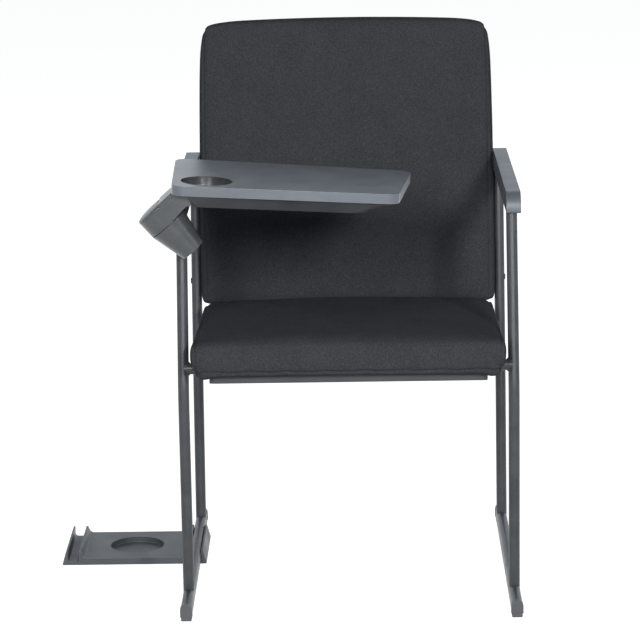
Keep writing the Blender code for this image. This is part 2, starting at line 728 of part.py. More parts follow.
def build_seat_pan(seat, low, board_rear):
    """Thin pan under the seat board, with a lip turned down in front of the front crossbar."""
    centre = Vector((PAN_LIP_RADIUS - SEAT_BOARD_FRONT, low + PAN_THICKNESS - PAN_LIP_RADIUS))
    profile = [(-SEAT_BOARD_FRONT, centre.y - PAN_LIP_DROP)]
    for step in range(PAN_LIP_STEPS + 1):
        turn = math.pi - step * math.pi / 2 / PAN_LIP_STEPS
        profile.append(centre + PAN_LIP_RADIUS * Vector((math.cos(turn), math.sin(turn))))
    profile.append((board_rear, low + PAN_THICKNESS))
    bm = bmesh.new()
    rows = []
    for x in (-SEAT_BOARD_WIDTH / 2, SEAT_BOARD_WIDTH / 2):
        rows.append([bm.verts.new((x, y, z)) for y, z in profile])
    for index in range(len(profile) - 1):
        bm.faces.new((rows[0][index], rows[1][index], rows[1][index + 1], rows[0][index + 1]))
    mesh = to_mesh(bm, "seat_pan")
    pan = part("seat_pan", smooth(mesh), "black_plastic", seat)
    modifier = pan.modifiers.new("sheet", "SOLIDIFY")
    modifier.thickness = PAN_THICKNESS
    modifier.offset = -1.0 if mesh.polygons[-1].normal.z > 0 else 1.0
    half = PAN_WIDTH / 2
    rear = board_rear - PAN_REAR_SETBACK
    outline = rounded_rectangle((-half, -SEAT_BOARD_FRONT - GAP / 2), (half, rear), SEAT_BOARD_CORNER)
    boolean(pan, tool("pan_outline", slab_mesh("pan_outline", [outline], -1, 1), seat), "INTERSECT")
    return pan


def build_seat_cushion(seat, board_high, board_rear, reach):
    """Seat cushion: crowned top, sides drawn in and tucked under, and a pocket for board and pan."""
    half = SEAT_WIDTH / 2
    front = -SEAT_BOARD_FRONT - SEAT_FRONT_RIM
    rear = board_rear + SEAT_REAR_RIM
    middle = (front + rear) / 2
    depth = (rear - front) / 2

    def shape(point):
        across = 1 - (point.x / half) ** 2
        along = 1 - ((point.y - middle) / depth) ** 2
        at_rim = abs(point.x) > half - SEAT_SIDE_ROUND - GAP
        at_front = point.y < front + GAP
        back_share = (point.y - front) / (rear - front)
        ends = SEAT_CROWN_AT_FRONT + (SEAT_CROWN_AT_REAR - SEAT_CROWN_AT_FRONT) * back_share
        if abs(point.x) > half - GAP:
            point.x *= 1 - SEAT_DRAW_IN / half * along
        if point.z > SEAT_EDGE_HEIGHT - GAP:
            point.z += SEAT_CROWN * across * (ends + (1 - ends) * along)
        elif point.z < GAP - SEAT_RIM_DROP and at_rim:
            point.x -= math.copysign(SEAT_TUCK, point.x)
            point.z -= SEAT_CORNER_DROP * at_front
        return point

    loops = (
        (-half, -half + SEAT_SIDE_ROUND, 0.0, half - SEAT_SIDE_ROUND, half),
        (front, front + SEAT_FRONT_ROUND, middle, rear - SEAT_ROUND, rear),
        (-SEAT_RIM_DROP, -SEAT_RIM_DROP + SEAT_WELT, SEAT_EDGE_HEIGHT),
    )
    cushion = part("seat_cushion", cushion_mesh("seat_cushion", loops, shape), "black_fabric", seat)
    soften(cushion)
    board_half = SEAT_BOARD_WIDTH / 2 + GAP
    outline = rounded_rectangle((-board_half, -SEAT_BOARD_FRONT - GAP), (board_half, board_rear + GAP),
                                SEAT_BOARD_CORNER)
    pocket = slab_mesh("seat_pocket", [outline], -SEAT_WIDTH, board_high + GAP)
    cut(cushion, tool("seat_pocket", pocket, seat))
    bar_notch = cylinder_mesh("bar_notch", TUBE_RADIUS + 2 * GAP, -TRACK, TRACK, axis="X")
    cut(cushion, tool("front_bar_notch", bar_notch, seat, (0, 0, -TUBE_RADIUS - GAP)))
    for side, sign in SIDES:
        x = sign * RAIL_SPACING / 2
        low = (x - RAIL_WIDTH / 2 - GAP, middle, -SEAT_WIDTH)
        high = (x + RAIL_WIDTH / 2 + GAP, reach, RAIL_THICKNESS + GAP)
        cut(cushion, tool(side + "_rail_notch", box_mesh("rail_notch", low, high), seat))


def build_back():
    """Back board bolted between the rear uprights, its cushion in front and its cover behind."""
    origin = (0, rear_axis_y(REAR_BEND_HEIGHT), REAR_BEND_HEIGHT)
    back = new_empty("back_frame", CHAIR, origin, (-REAR_UPPER_LEAN, 0, 0))
    half = BACK_WIDTH / 2
    board_half = half - BACK_RIM
    board_y = BACK_BOARD_THICKNESS / 2
    low, high = BACK_BOTTOM + BACK_RIM, BACK_TOP - BACK_RIM
    face_on = (math.pi / 2, 0, 0)
    outline = rounded_rectangle((-board_half, low), (board_half, high), BACK_BOARD_CORNER)
    panel = slab_mesh("back_board", [outline], -board_y, board_y)
    board = part("back_board", panel, "plywood", back, (0, 0, 0), face_on)
    cushion = build_back_cushion(back, board_y)
    build_back_shell(back, board_y)
    head_seat = TRACK / 2 + TUBE_RADIUS - BACK_BOLT_DIMPLE_DEPTH
    length = head_seat - board_half + BACK_BOLT_BITE
    for side, sign in SIDES:
        for level, height in (("lower", BACK_BOLT_LOW), ("upper", BACK_BOLT_HIGH)):
            name = f"{side}_{level}_back_bolt"
            seat = (sign * (head_seat + GAP), 0, height)
            inward = (0, -sign * math.pi / 2, 0)
            bolt = headed_screw(name, BACK_BOLT_RADIUS, length, BACK_BOLT_HEAD_RADIUS, BACK_BOLT_HEAD_HEIGHT)
            part(name, bolt, "zinc_steel", back, seat, inward)
            hole = cylinder_mesh("bolt_hole", BACK_BOLT_RADIUS + GAP, -2 * GAP, length + GAP, SCREW_SIDES)
            dimple = cylinder_mesh("bolt_dimple", BACK_BOLT_DIMPLE_RADIUS, -TUBE_RADIUS, GAP, SCREW_SIDES)
            hole_tool = tool(name + "_hole", hole, back, seat, inward)
            upright = bpy.data.objects[f"{side}_rear_upright"]
            cut(upright, tool(name + "_dimple", dimple, back, seat, inward), hole_tool)
            cut(cushion, hole_tool)
            cut(board, hole_tool)


def build_back_cushion(back, board_y):
    """Back cushion: crowned front, sides drawn in, wrapped round the edges of its board."""
    half = BACK_WIDTH / 2
    front = -board_y - BACK_FRONT
    rear = board_y + GAP
    middle = (BACK_BOTTOM + BACK_TOP) / 2
    tall = (BACK_TOP - BACK_BOTTOM) / 2

    def shape(point):
        across = 1 - (point.x / half) ** 2
        along = 1 - ((point.z - middle) / tall) ** 2
        if point.y < front + GAP:
            point.y -= BACK_CROWN * across * (CROWN_AT_ENDS + (1 - CROWN_AT_ENDS) * along)
        at_side = abs(point.x) > half - GAP
        at_top = point.z > BACK_TOP - GAP
        at_bottom = point.z < BACK_BOTTOM + GAP
        narrowing = BACK_TOP_NARROWING if point.z > BACK_TOP - BACK_TOP_ROUND - GAP else BACK_DRAW_IN * along
        if at_top:
            point.z += BACK_TOP_RISE * across
        if at_top and at_side:
            point.z -= BACK_TOP_CORNER_CUT
            narrowing += BACK_TOP_CORNER_CUT
        if at_bottom and at_side:
            point.z -= BACK_BOTTOM_CORNER_DROP
        if at_side:
            point.x *= 1 - narrowing / half
        return point

    loops = (
        (-half, -half + BACK_ROUND, 0.0, half - BACK_ROUND, half),
        (front, front + BACK_FACE_ROUND, rear),
        (BACK_BOTTOM, BACK_BOTTOM + BACK_BOTTOM_ROUND, middle, BACK_TOP - BACK_TOP_ROUND, BACK_TOP),
    )
    cushion = part("back_cushion", cushion_mesh("back_cushion", loops, shape), "black_fabric", back)
    cushion.data.attributes.new("crease_edge", "FLOAT", "EDGE")
    for edge in cushion.data.edges:
        ends = [cushion.data.vertices[index].co.y for index in edge.vertices]
        cushion.data.attributes["crease_edge"].data[edge.index].value = float(min(ends) > rear - GAP)
    soften(cushion)
    margin = BACK_RIM - GAP
    outline = rounded_rectangle((margin - half, BACK_BOTTOM + margin), (half - margin, BACK_TOP - margin),
                                BACK_BOARD_CORNER)
    pocket = slab_mesh("back_pocket", [outline], -BACK_FRONT, board_y + GAP)
    cut(cushion, tool("back_pocket", pocket, back, (0, 0, 0), (math.pi / 2, 0, 0)))
    return cushion


def build_back_shell(back, board_y):
    """Thin cover over the rear of the back, bowed out towards its middle."""
    half = BACK_WIDTH / 2 - BACK_SHELL_INSET
    low, high = BACK_BOTTOM + BACK_SHELL_INSET, BACK_TOP - BACK_SHELL_INSET
    outline = rounded_rectangle((-half, low), (half, high), BACK_SHELL_CORNER, 4)
    middle = (low + high) / 2
    start = board_y + 2 * GAP
    bm = bmesh.new()
    rim = [bm.verts.new((x, start, z)) for x, z in outline]
    ring = [rim]
    for share in BACK_SHELL_STEPS:
        y = start + BACK_SHELL_BULGE * (1 - share ** 3)
        ring.append([bm.verts.new((x * share, y, middle + (z - middle) * share)) for x, z in outline])
    count = len(outline)
    for outer, inner in zip(ring, ring[1:]):
        for index in range(count):
            following = (index + 1) % count
            bm.faces.new((outer[index], outer[following], inner[following], inner[index]))
    bm.faces.new(ring[-1])
    mesh = to_mesh(bm, "back_shell")
    shell = part("back_shell", smooth(mesh), "black_plastic", back)
    modifier = shell.modifiers.new("sheet", "SOLIDIFY")
    modifier.thickness = BACK_SHELL_THICKNESS
    modifier.offset = 1.0 if mesh.polygons[-1].normal.y > 0 else -1.0


def hinge_centre():
    """Middle of the hinge head's inner face, a set distance ahead of the front upright."""
    return Vector((HINGE_X, front_axis_y(HINGE_HEIGHT) - HINGE_AHEAD, HINGE_HEIGHT))


def hinge_frames():
    """The joint's empty on the hinge axis, its local Z along the axis and local X up to the tablet."""
    turn = Matrix((
        (math.sin(HINGE_DIP), 0, math.cos(HINGE_DIP)),
        (0, -1, 0),
        (math.cos(HINGE_DIP), 0, -math.sin(HINGE_DIP)),
    ))
    rotation = turn.to_euler()
    place = hinge_centre()
    moving = new_empty("tablet_hinge_axis", CHAIR, place, rotation)
    fixed = new_empty("tablet_hinge_seat", CHAIR, place, rotation)
    return moving, fixed


def build_tablet(moving):
    """Tablet top and the tray below it, drooping a little towards its free end."""
    hinge_turn = moving.rotation_euler.to_matrix().to_4x4()
    hinge_place = Matrix.Translation(moving.location) @ hinge_turn
    front_y = moving.location.y - HINGE_FROM_TABLET_FRONT
    tablet_place = Matrix.Translation((TABLET_LEFT_X, front_y, TABLET_HEIGHT))
    tablet_place = tablet_place @ Matrix.Rotation(TABLET_DROOP, 4, "Y")
    relative = hinge_place.inverted() @ tablet_place
    tablet = new_empty("tablet_frame", moving, relative.to_translation(), relative.to_euler())
    corners = [
        (TABLET_LEFT_SKEW, 0),
        (TABLET_LEFT_SKEW + TABLET_FRONT_LENGTH, 0),
        (TABLET_BACK_LENGTH, TABLET_RIGHT_DEPTH),
        (0, TABLET_LEFT_DEPTH),
    ]
    outline = rounded_outline([(x, y, TABLET_CORNER) for x, y in corners])
    top = part("tablet_top", slab_mesh("tablet_top", [outline], -TABLET_THICKNESS, 0), "grey_plastic", tablet)
    round_edges(top, TABLET_EDGE_ROUND)
    cup = cylinder_mesh("cup", CUP_RADIUS, CUP_FLOOR - TABLET_THICKNESS, TABLET_THICKNESS, DISC_SIDES)
    cut(top, tool("cup_recess", cup, tablet, (CUP_X, CUP_Y, 0)))
    tray = build_undertray(tablet)
    return tablet, top, tray


def build_undertray(tablet):
    """Open-topped tray under the tablet, its walls sloping in to a flat bottom."""
    def ring(share):
        front = UNDERTRAY_TOP_INSET + share * UNDERTRAY_FRONT_SLOPE
        root = UNDERTRAY_LEFT + share * UNDERTRAY_ROOT_SLOPE
        tip = UNDERTRAY_TOP_INSET + share * UNDERTRAY_TIP_SLOPE
        corners = [
            (root, front, UNDERTRAY_ROOT_CORNER),
            (TABLET_LEFT_SKEW + TABLET_FRONT_LENGTH - tip, front, UNDERTRAY_CORNER),
            (TABLET_BACK_LENGTH - tip, TABLET_RIGHT_DEPTH - front, UNDERTRAY_CORNER),
            (root, TABLET_LEFT_DEPTH - front, UNDERTRAY_ROOT_CORNER),
        ]
        return rounded_outline(corners, 5)

    roof = -TABLET_THICKNESS - GAP
    bm = bmesh.new()
    above_roof = roof + UNDERTRAY_SPARE * UNDERTRAY_DEPTH
    above = [bm.verts.new((x, y, above_roof)) for x, y in ring(-UNDERTRAY_SPARE)]
    below = [bm.verts.new((x, y, roof - UNDERTRAY_DEPTH)) for x, y in ring(1)]
    count = len(above)
    for index in range(count):
        following = (index + 1) % count
        bm.faces.new((above[index], above[following], below[following], below[index]))
    bm.faces.new(below)
    mesh = to_mesh(bm, "tablet_undertray")
    tray = part("tablet_undertray", smooth(mesh, 20), "grey_plastic", tablet)
    modifier = tray.modifiers.new("wall", "SOLIDIFY")
    modifier.thickness = UNDERTRAY_WALL
    modifier.offset = -1.0 if mesh.polygons[-1].normal.z < 0 else 1.0
    roof_box = box_mesh("tray_roof", (-1, -1, roof), (1, 1, 1))
    cut(tray, tool("tray_roof", roof_box, tablet))
    return tray


def build_head(moving, tablet, top, tray):
    """Hinge head: a round boss on the pivot, an arm up to the tablet and a screwed flange under it."""
    head_mesh = cylinder_mesh("hinge_head", HEAD_RADIUS, -HEAD_THICKNESS, 0, DISC_SIDES)
    head = part("hinge_head", head_mesh, "grey_plastic", moving)
    arm_half = HEAD_RADIUS - HEAD_STRIP_SETBACK
    strip_mesh = box_mesh("strip", (HEAD_STRIP_START, -arm_half, -HEAD_THICKNESS - HEAD_STRIP_THICKNESS),
                          (HEAD_RADIUS * 2, arm_half, HEAD_STRIP_BURIED - HEAD_THICKNESS))
    fuse(head, tool("head_strip", strip_mesh, moving))
    below_top = -TABLET_THICKNESS - GAP
    flange_low = below_top - FLANGE_THICKNESS
    arm_low = HINGE_FROM_TABLET_FRONT - arm_half + HEAD_STRIP_SETBACK
    arm_high = HINGE_FROM_TABLET_FRONT + arm_half - HEAD_STRIP_SETBACK
    to_tablet = tablet.matrix_local.inverted()
    outer = HEAD_STRIP_SETBACK - HEAD_THICKNESS
    arm_corner = to_tablet @ Vector((0, 0, outer))
    arm_middle = to_tablet @ Vector((0, 0, -HEAD_STRIP_SETBACK))
    arm_root = to_tablet @ Vector((HEAD_ARM_ROOT, 0, -HEAD_STRIP_SETBACK))
    run = to_tablet @ Vector((HEAD_RADIUS, 0, outer)) - arm_corner
    meet = arm_corner + run * ((-arm_corner.z) / run.z)
    outline = [
        (meet.x, 0),
        (arm_corner.x, arm_corner.z),
        (arm_middle.x, arm_middle.z),
        (arm_root.x, arm_root.z),
        (HEAD_ARM_RIGHT - HEAD_ARM_ELBOW / 2, below_top - HEAD_ARM_ELBOW * 3 / 2),
        (HEAD_ARM_RIGHT, below_top - HEAD_ARM_DEPTH),
        (HEAD_ARM_RIGHT, 0),
    ]
    arm = slab_mesh("head_arm", [outline], -arm_high, -arm_low)
    fuse(head, tool("head_arm", arm, tablet, (0, 0, 0), (math.pi / 2, 0, 0)))
    flange_front = arm_low + FLANGE_SETBACK
    flange_rear = arm_high - FLANGE_SETBACK
    flange = box_mesh("flange", (HEAD_ARM_RIGHT - HEAD_ARM_ELBOW, flange_front, flange_low),
                      (FLANGE_REACH, flange_rear, -GAP))
    fuse(head, tool("head_flange", flange, tablet))
    cut(head, tool("tablet_underside", box_mesh("tablet_underside", (-1, -1, below_top), (1, 1, 1)), tablet))
    slot = box_mesh("tray_slot", (-FLANGE_REACH, flange_front - GAP, flange_low - GAP),
                    (FLANGE_REACH + GAP, flange_rear + GAP, TABLET_THICKNESS))
    notch = box_mesh("tray_notch", (-FLANGE_REACH, arm_low - GAP, -FLANGE_REACH),
                     (HEAD_ARM_RIGHT + GAP, arm_high + GAP, FLANGE_REACH))
    cut(tray, tool("tray_flange_slot", slot, tablet), tool("tray_arm_notch", notch, tablet))
    bore = cylinder_mesh("pivot_bore", PIVOT_RADIUS + GAP, -1, 1, SCREW_SIDES)
    pocket = cylinder_mesh("pivot_pocket", PIVOT_HEAD_RADIUS + 2 * GAP,
                           -HEAD_THICKNESS - HEAD_STRIP_THICKNESS, PIVOT_HEAD_POCKET - HEAD_THICKNESS,
                           SCREW_SIDES * 2)
    cut(head, tool("pivot_bore", bore, moving), tool("pivot_pocket", pocket, moving))
    for row, x in (("near", FLANGE_SCREW_FIRST), ("far", FLANGE_SCREW_FIRST + FLANGE_SCREW_PITCH)):
        for end, sign in (("front", -1), ("rear", 1)):
            name = f"{row}_{end}_tablet_screw"
            seat = (x, HINGE_FROM_TABLET_FRONT + sign * FLANGE_SCREW_SPREAD / 2, flange_low - GAP)
            length = FLANGE_THICKNESS + 2 * GAP + FLANGE_SCREW_BITE
            screw = headed_screw(name, FLANGE_SCREW_RADIUS, length, FLANGE_SCREW_HEAD_RADIUS,
                                 FLANGE_SCREW_HEAD_HEIGHT)
            part(name, screw, "zinc_steel", tablet, seat)
            hole = cylinder_mesh("flange_hole", FLANGE_SCREW_RADIUS + GAP, -GAP, length + GAP, SCREW_SIDES)
            cutter = tool(name + "_hole", hole, tablet, seat)
            cut(head, cutter)
            cut(top, cutter)


def build_pivot(moving):
    """Domed cover, pivot bolt, spring washer and lock nut, all on the hinge axis."""
    outer = -HEAD_THICKNESS - GAP
    profile = [(0, outer), (HEAD_RADIUS, outer)]
    for step in range(DOME_STEPS + 1):
        turn = step * math.pi / 2 / DOME_STEPS
        rise = DOME_RIM + (DOME_HEIGHT - DOME_RIM) * math.sin(turn)
        profile.append((HEAD_RADIUS * math.cos(turn), outer - rise))
    profile[-1] = (0, outer - DOME_HEIGHT)
    dome = part("head_dome", turned_mesh("head_dome", profile, DISC_SIDES), "grey_plastic", moving)
    dome_trim = box_mesh("dome_trim", (HEAD_STRIP_START - GAP, -1, -1), (1, 1, 1))
    cut(dome, tool("dome_trim", dome_trim, moving))
    web_end = 2 * GAP + WASHER_THICKNESS + SOCKET_WEB
    spring_low = web_end + GAP
    nut_low = spring_low + SPRING_THICKNESS + SPRING_RISE + GAP
    bolt_end = nut_low + NUT_HEIGHT + PIVOT_SPARE
    head_seat = PIVOT_HEAD_POCKET - HEAD_THICKNESS - GAP
    bolt_profile = [
        (0, bolt_end),
        (PIVOT_RADIUS, bolt_end),
        (PIVOT_RADIUS, head_seat),
        (PIVOT_HEAD_RADIUS, head_seat),
        (PIVOT_HEAD_RADIUS, head_seat - PIVOT_HEAD_HEIGHT),
        (0, head_seat - PIVOT_HEAD_HEIGHT),
    ]
    part("pivot_bolt", turned_mesh("pivot_bolt", bolt_profile, SCREW_SIDES), "zinc_steel", moving)
    hole = PIVOT_RADIUS + 2 * GAP
    spring_profile = [
        (SPRING_RADIUS, spring_low + SPRING_THICKNESS),
        (SPRING_RADIUS, spring_low),
        (hole, spring_low + SPRING_RISE),
        (hole, spring_low + SPRING_RISE + SPRING_THICKNESS),
    ]
    spring = turned_mesh("disc_spring", spring_profile, SCREW_SIDES * 2, True)
    part("disc_spring", spring, "zinc_steel", moving)
    nut_high = nut_low + NUT_HEIGHT
    nut_mesh = cylinder_mesh("lock_nut", NUT_RADIUS, nut_low, nut_high, 6)
    nut = part("lock_nut", nut_mesh, "zinc_steel", moving)
    nut_bore = cylinder_mesh("nut_bore", PIVOT_RADIUS + GAP, nut_low - GAP, nut_high + GAP, SCREW_SIDES)
    cut(nut, tool("nut_bore", nut_bore, moving))
    return web_end


def build_socket(fixed, web_end):
    """Tapered socket that carries the pivot, clamped to the front upright from behind."""
    washer_low = GAP
    washer_high = washer_low + WASHER_THICKNESS
    hole = PIVOT_RADIUS + 2 * GAP
    ring = [
        (WASHER_RADIUS, washer_high),
        (WASHER_RADIUS, washer_low),
        (hole, washer_low),
        (hole, washer_high),
    ]
    part("friction_washer", turned_mesh("friction_washer", ring, DISC_SIDES, True), "nylon", fixed)
    socket_low = washer_high + GAP
    socket_high = socket_low + SOCKET_LENGTH
    cone = cylinder_mesh("hinge_socket", HEAD_RADIUS, socket_low, socket_high, DISC_SIDES,
                         top_radius=SOCKET_END_RADIUS)
    socket = part("hinge_socket", cone, "grey_plastic", fixed)
    y = front_axis_y(CLAMP_CENTRE_HEIGHT)
    clamp = new_empty("clamp_frame", CHAIR, (-TRACK / 2, y, CLAMP_CENTRE_HEIGHT), (-FRONT_LEAN, 0, 0))
    half, tall = CLAMP_WIDTH / 2, CLAMP_HEIGHT / 2
    boss = box_mesh("clamp_boss", (-half, -CLAMP_BOSS_REACH, -tall), (half, -CLAMP_SPLIT / 2, tall))
    fuse(socket, tool("clamp_boss", boss, clamp))
    pivot_bore = cylinder_mesh("socket_bore", hole, -1, 1, SCREW_SIDES)
    pocket = cylinder_mesh("nut_pocket", NUT_POCKET_RADIUS, web_end, 1, DISC_SIDES)
    grip = upright_tool("clamp_grip", -TRACK / 2, front_axis_y, FRONT_BEND_HEIGHT, TUBE_RADIUS + GAP)
    cut(socket, tool("socket_bore", pivot_bore, fixed), tool("nut_pocket", pocket, fixed), grip)
    plug = [
        (0, socket_high - GAP),
        (NUT_POCKET_RADIUS - GAP, socket_high - GAP),
        (NUT_POCKET_RADIUS - GAP, socket_high - PLUG_THICKNESS),
        (0, socket_high - PLUG_THICKNESS),
    ]
    part("socket_plug", turned_mesh("socket_plug", plug, DISC_SIDES), "black_plastic", fixed)
    shell = box_mesh("hinge_clamp", (-half, CLAMP_SPLIT / 2, -tall), (half, CLAMP_DEPTH, tall))
    strap = part("hinge_clamp", shell, "grey_plastic", clamp)
    round_edges(strap, ARM_EDGE_ROUND)
    cut(strap, grip)
    length = CLAMP_DEPTH + CLAMP_SCREW_BITE
    for side, sign in SIDES:
        name = side + "_clamp_screw"
        seat = (sign * CLAMP_SCREW_SPREAD / 2, CLAMP_DEPTH + GAP, 0)
        forward = (math.pi / 2, 0, 0)
        screw = headed_screw(name, CLAMP_SCREW_RADIUS, length, CLAMP_SCREW_HEAD_RADIUS,
                             CLAMP_SCREW_HEAD_HEIGHT)
        part(name, screw, "zinc_steel", clamp, seat, forward)
        hole_mesh = cylinder_mesh("clamp_hole", CLAMP_SCREW_RADIUS + GAP, -2 * GAP, length + GAP, SCREW_SIDES)
        cutter = tool(name + "_hole", hole_mesh, clamp, seat, forward)
        cut(strap, cutter)
        cut(socket, cutter)


def build_link_plate():
    """Floor plate with a channel under this chair's left runner and one for the next chair's."""
    link = new_empty("link_slide", CHAIR, (-TRACK / 2, LINK_FRONT_Y, 0))
    half = RUNNER_WIDTH / 2 + LINK_CLEARANCE
    floor = RUNNER_LIFT - GAP
    base = GAP

    def end_channel(centre, outward):
        return [
            (centre + outward * LINK_END, base),
            (centre + outward * LINK_END, base + LINK_END_EDGE),
            (centre + outward * (half + LINK_LIP_TOP), LINK_LIP_HEIGHT),
            (centre + outward * half, LINK_LIP_HEIGHT),
            (centre + outward * half, floor),
            (centre - outward * half, floor),
            (centre - outward * half, LINK_LIP_HEIGHT),
            (centre - outward * (half + LINK_LIP_TOP), LINK_LIP_HEIGHT),
            (centre - outward * (half + LINK_LIP_FOOT), LINK_THICKNESS),
        ]

    section = end_channel(-LINK_PITCH, -1) + end_channel(0, 1)[::-1]
    mesh = slab_mesh("link_plate", [section], -LINK_DEPTH, 0)
    plate = part("link_plate", mesh, "grey_plastic", link, (0, 0, 0), (math.pi / 2, 0, 0))
    dish = cylinder_mesh("link_dish", LINK_DISH_RADIUS, base + LINK_DISH_FLOOR, 1, DISC_SIDES)
    cut(plate, tool("link_dish", dish, link, (-LINK_PITCH / 2, LINK_DEPTH / 2, 0)))
    for side, centre in (("far", -LINK_PITCH), ("near", 0)):
        low = (centre - LINK_END, LINK_NOTCH_FROM_FRONT, LINK_THICKNESS + GAP)
        high = (centre + LINK_END, LINK_NOTCH_FROM_FRONT + LINK_NOTCH_WIDTH, LINK_LIP_HEIGHT * 2)
        cut(plate, tool(side + "_lip_notch", box_mesh("lip_notch", low, high), link))


def footprint_centre():
    """Middle of the outer box in chair coordinates."""
    left = -TRACK / 2 - LINK_PITCH - LINK_END
    right = TRACK / 2 + ARM_OUTWARD + ARM_WIDTH / 2
    cover = BACK_BOARD_THICKNESS / 2 + BACK_SHELL_THICKNESS
    rise = BACK_TOP * math.sin(REAR_UPPER_LEAN)
    rear = rear_axis_y(REAR_BEND_HEIGHT) + rise + cover * math.cos(REAR_UPPER_LEAN)
    return (left + right) / 2, rear / 2


UPRIGHTS = (("front", front_axis_y, FRONT_BEND_HEIGHT), ("rear", rear_axis_y, REAR_BEND_HEIGHT))

clear_scene()
PARTS = new_collection("visitor_chair")
TOOLS = new_collection("cutters")
centre_x, centre_y = footprint_centre()
CHAIR = new_empty("visitor_chair", None, (-centre_x, -centre_y, 0))

for side_name, side_sign in SIDES:
    side_x = side_sign * TRACK / 2
    arm_place = (side_x, front_axis_y(ARM_UNDERSIDE), ARM_UNDERSIDE)
    arm_frame = new_empty(side_name + "_arm_frame", CHAIR, arm_place, (-ARM_SLOPE, 0, 0))
    build_runner(side_name, side_x)
    build_uprights(side_name, side_x, arm_frame)
    build_armrest(side_name, arm_frame, side_sign)
build_crossbar("front_crossbar", front_axis_y, FRONT_BEND_HEIGHT, FRONT_BAR_HEIGHT)
build_crossbar("rear_crossbar", rear_axis_y, REAR_BEND_HEIGHT, REAR_BAR_HEIGHT)
build_seat()
build_back()
hinge_moving, hinge_fixed = hinge_frames()
tablet_frame, tablet_top, tablet_tray = build_tablet(hinge_moving)
build_head(hinge_moving, tablet_frame, tablet_top, tablet_tray)
socket_web_end = build_pivot(hinge_moving)
build_socket(hinge_fixed, socket_web_end)
build_link_plate()
bpy.context.view_layer.update()

for empty_name in ("tablet_hinge_axis", "tablet_frame", "link_slide", "seat_frame", "back_frame"):
    world = bpy.data.objects[empty_name].matrix_world
    print(empty_name, [round(value, 5) for value in world.translation],
          "local Z", [round(value, 5) for value in world.col[2][:3]])
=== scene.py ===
# %% [markdown]
# # A visitor chair with a writing tablet, dressed for its picture
# The chair stands on two tube side frames. Padded seat and back hang between them, a writing
# tablet swings on a slanted hinge at one arm, and a floor plate links it to the next chair.
# The solids come from the part's own model, so this lesson adds only what the eye sees: finishes,
# cloth, seams, smooth tubes, welds and screw heads, each on the body that carries it.

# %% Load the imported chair
import json
import math

import bmesh
import bpy
import numpy as np
from mathutils import Matrix, Vector

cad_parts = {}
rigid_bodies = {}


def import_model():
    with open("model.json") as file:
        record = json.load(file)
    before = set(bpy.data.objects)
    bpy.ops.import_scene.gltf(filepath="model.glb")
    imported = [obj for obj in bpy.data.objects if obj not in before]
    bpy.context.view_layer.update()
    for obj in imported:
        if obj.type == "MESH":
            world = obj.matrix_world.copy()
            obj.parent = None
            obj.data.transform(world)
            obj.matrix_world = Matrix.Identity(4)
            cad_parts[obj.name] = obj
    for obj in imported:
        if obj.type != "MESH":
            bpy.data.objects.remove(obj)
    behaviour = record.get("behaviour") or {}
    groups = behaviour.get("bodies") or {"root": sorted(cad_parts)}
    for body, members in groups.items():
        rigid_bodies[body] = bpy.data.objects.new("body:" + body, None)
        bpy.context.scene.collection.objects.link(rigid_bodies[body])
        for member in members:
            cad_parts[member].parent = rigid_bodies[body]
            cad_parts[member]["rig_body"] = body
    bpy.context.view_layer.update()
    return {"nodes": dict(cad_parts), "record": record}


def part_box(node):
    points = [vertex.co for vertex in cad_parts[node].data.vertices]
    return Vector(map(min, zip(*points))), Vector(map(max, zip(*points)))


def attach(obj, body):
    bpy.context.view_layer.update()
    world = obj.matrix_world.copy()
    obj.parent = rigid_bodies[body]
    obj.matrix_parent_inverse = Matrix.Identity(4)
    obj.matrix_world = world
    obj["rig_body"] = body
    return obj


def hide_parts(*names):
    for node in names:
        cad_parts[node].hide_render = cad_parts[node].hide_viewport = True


for leftover in list(bpy.data.objects):
    bpy.data.objects.remove(leftover)
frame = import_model()
NODES = frame["nodes"]
SCENE = bpy.context.scene
SIDES, ENDS = ("left", "right"), ("front", "rear")


def put(name, data):
    """A new object in the scene."""
    made = bpy.data.objects.new(name, data)
    SCENE.collection.objects.link(made)
    return made


# %% [markdown]
# ## Chair coordinates
# The chair was drawn with X at zero half way between the side frames and Y at zero at the front
# of the runners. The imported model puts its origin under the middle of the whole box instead. One
# shift takes a point from the drawing to the model, so the drawing's sizes can be used here.

# %% Shift from the drawing to the model
left_edge, right_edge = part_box("left_runner")[0].x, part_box("right_runner")[1].x
front_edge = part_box("left_front_cap")[0].y
TO_MODEL = Vector(((left_edge + right_edge) / 2, front_edge, 0.0))


def place(x, y, z):
    """A point of the drawing, in the model."""
    return Vector((x, y, z)) + TO_MODEL


print("drawing to model:", [round(v, 5) for v in TO_MODEL])

# %% [markdown]
# ## The camera
# The photograph was taken with a long lens from a little above the armrests. Its lens, height and
# three small turns were fitted to the way that the runners, uprights and arms run together. A
# camera is built from them directly: three axes make the columns of its matrix.

# %% Camera at the photograph's angle
FOCAL_PIXELS, IMAGE_PIXELS, SENSOR = 2927.021, 640, 36.0
PITCH, YAW, ROLL = 0.2303, 0.0131, -0.0166
CAMERA_AT = (0.0154, -4.4508, 1.537)

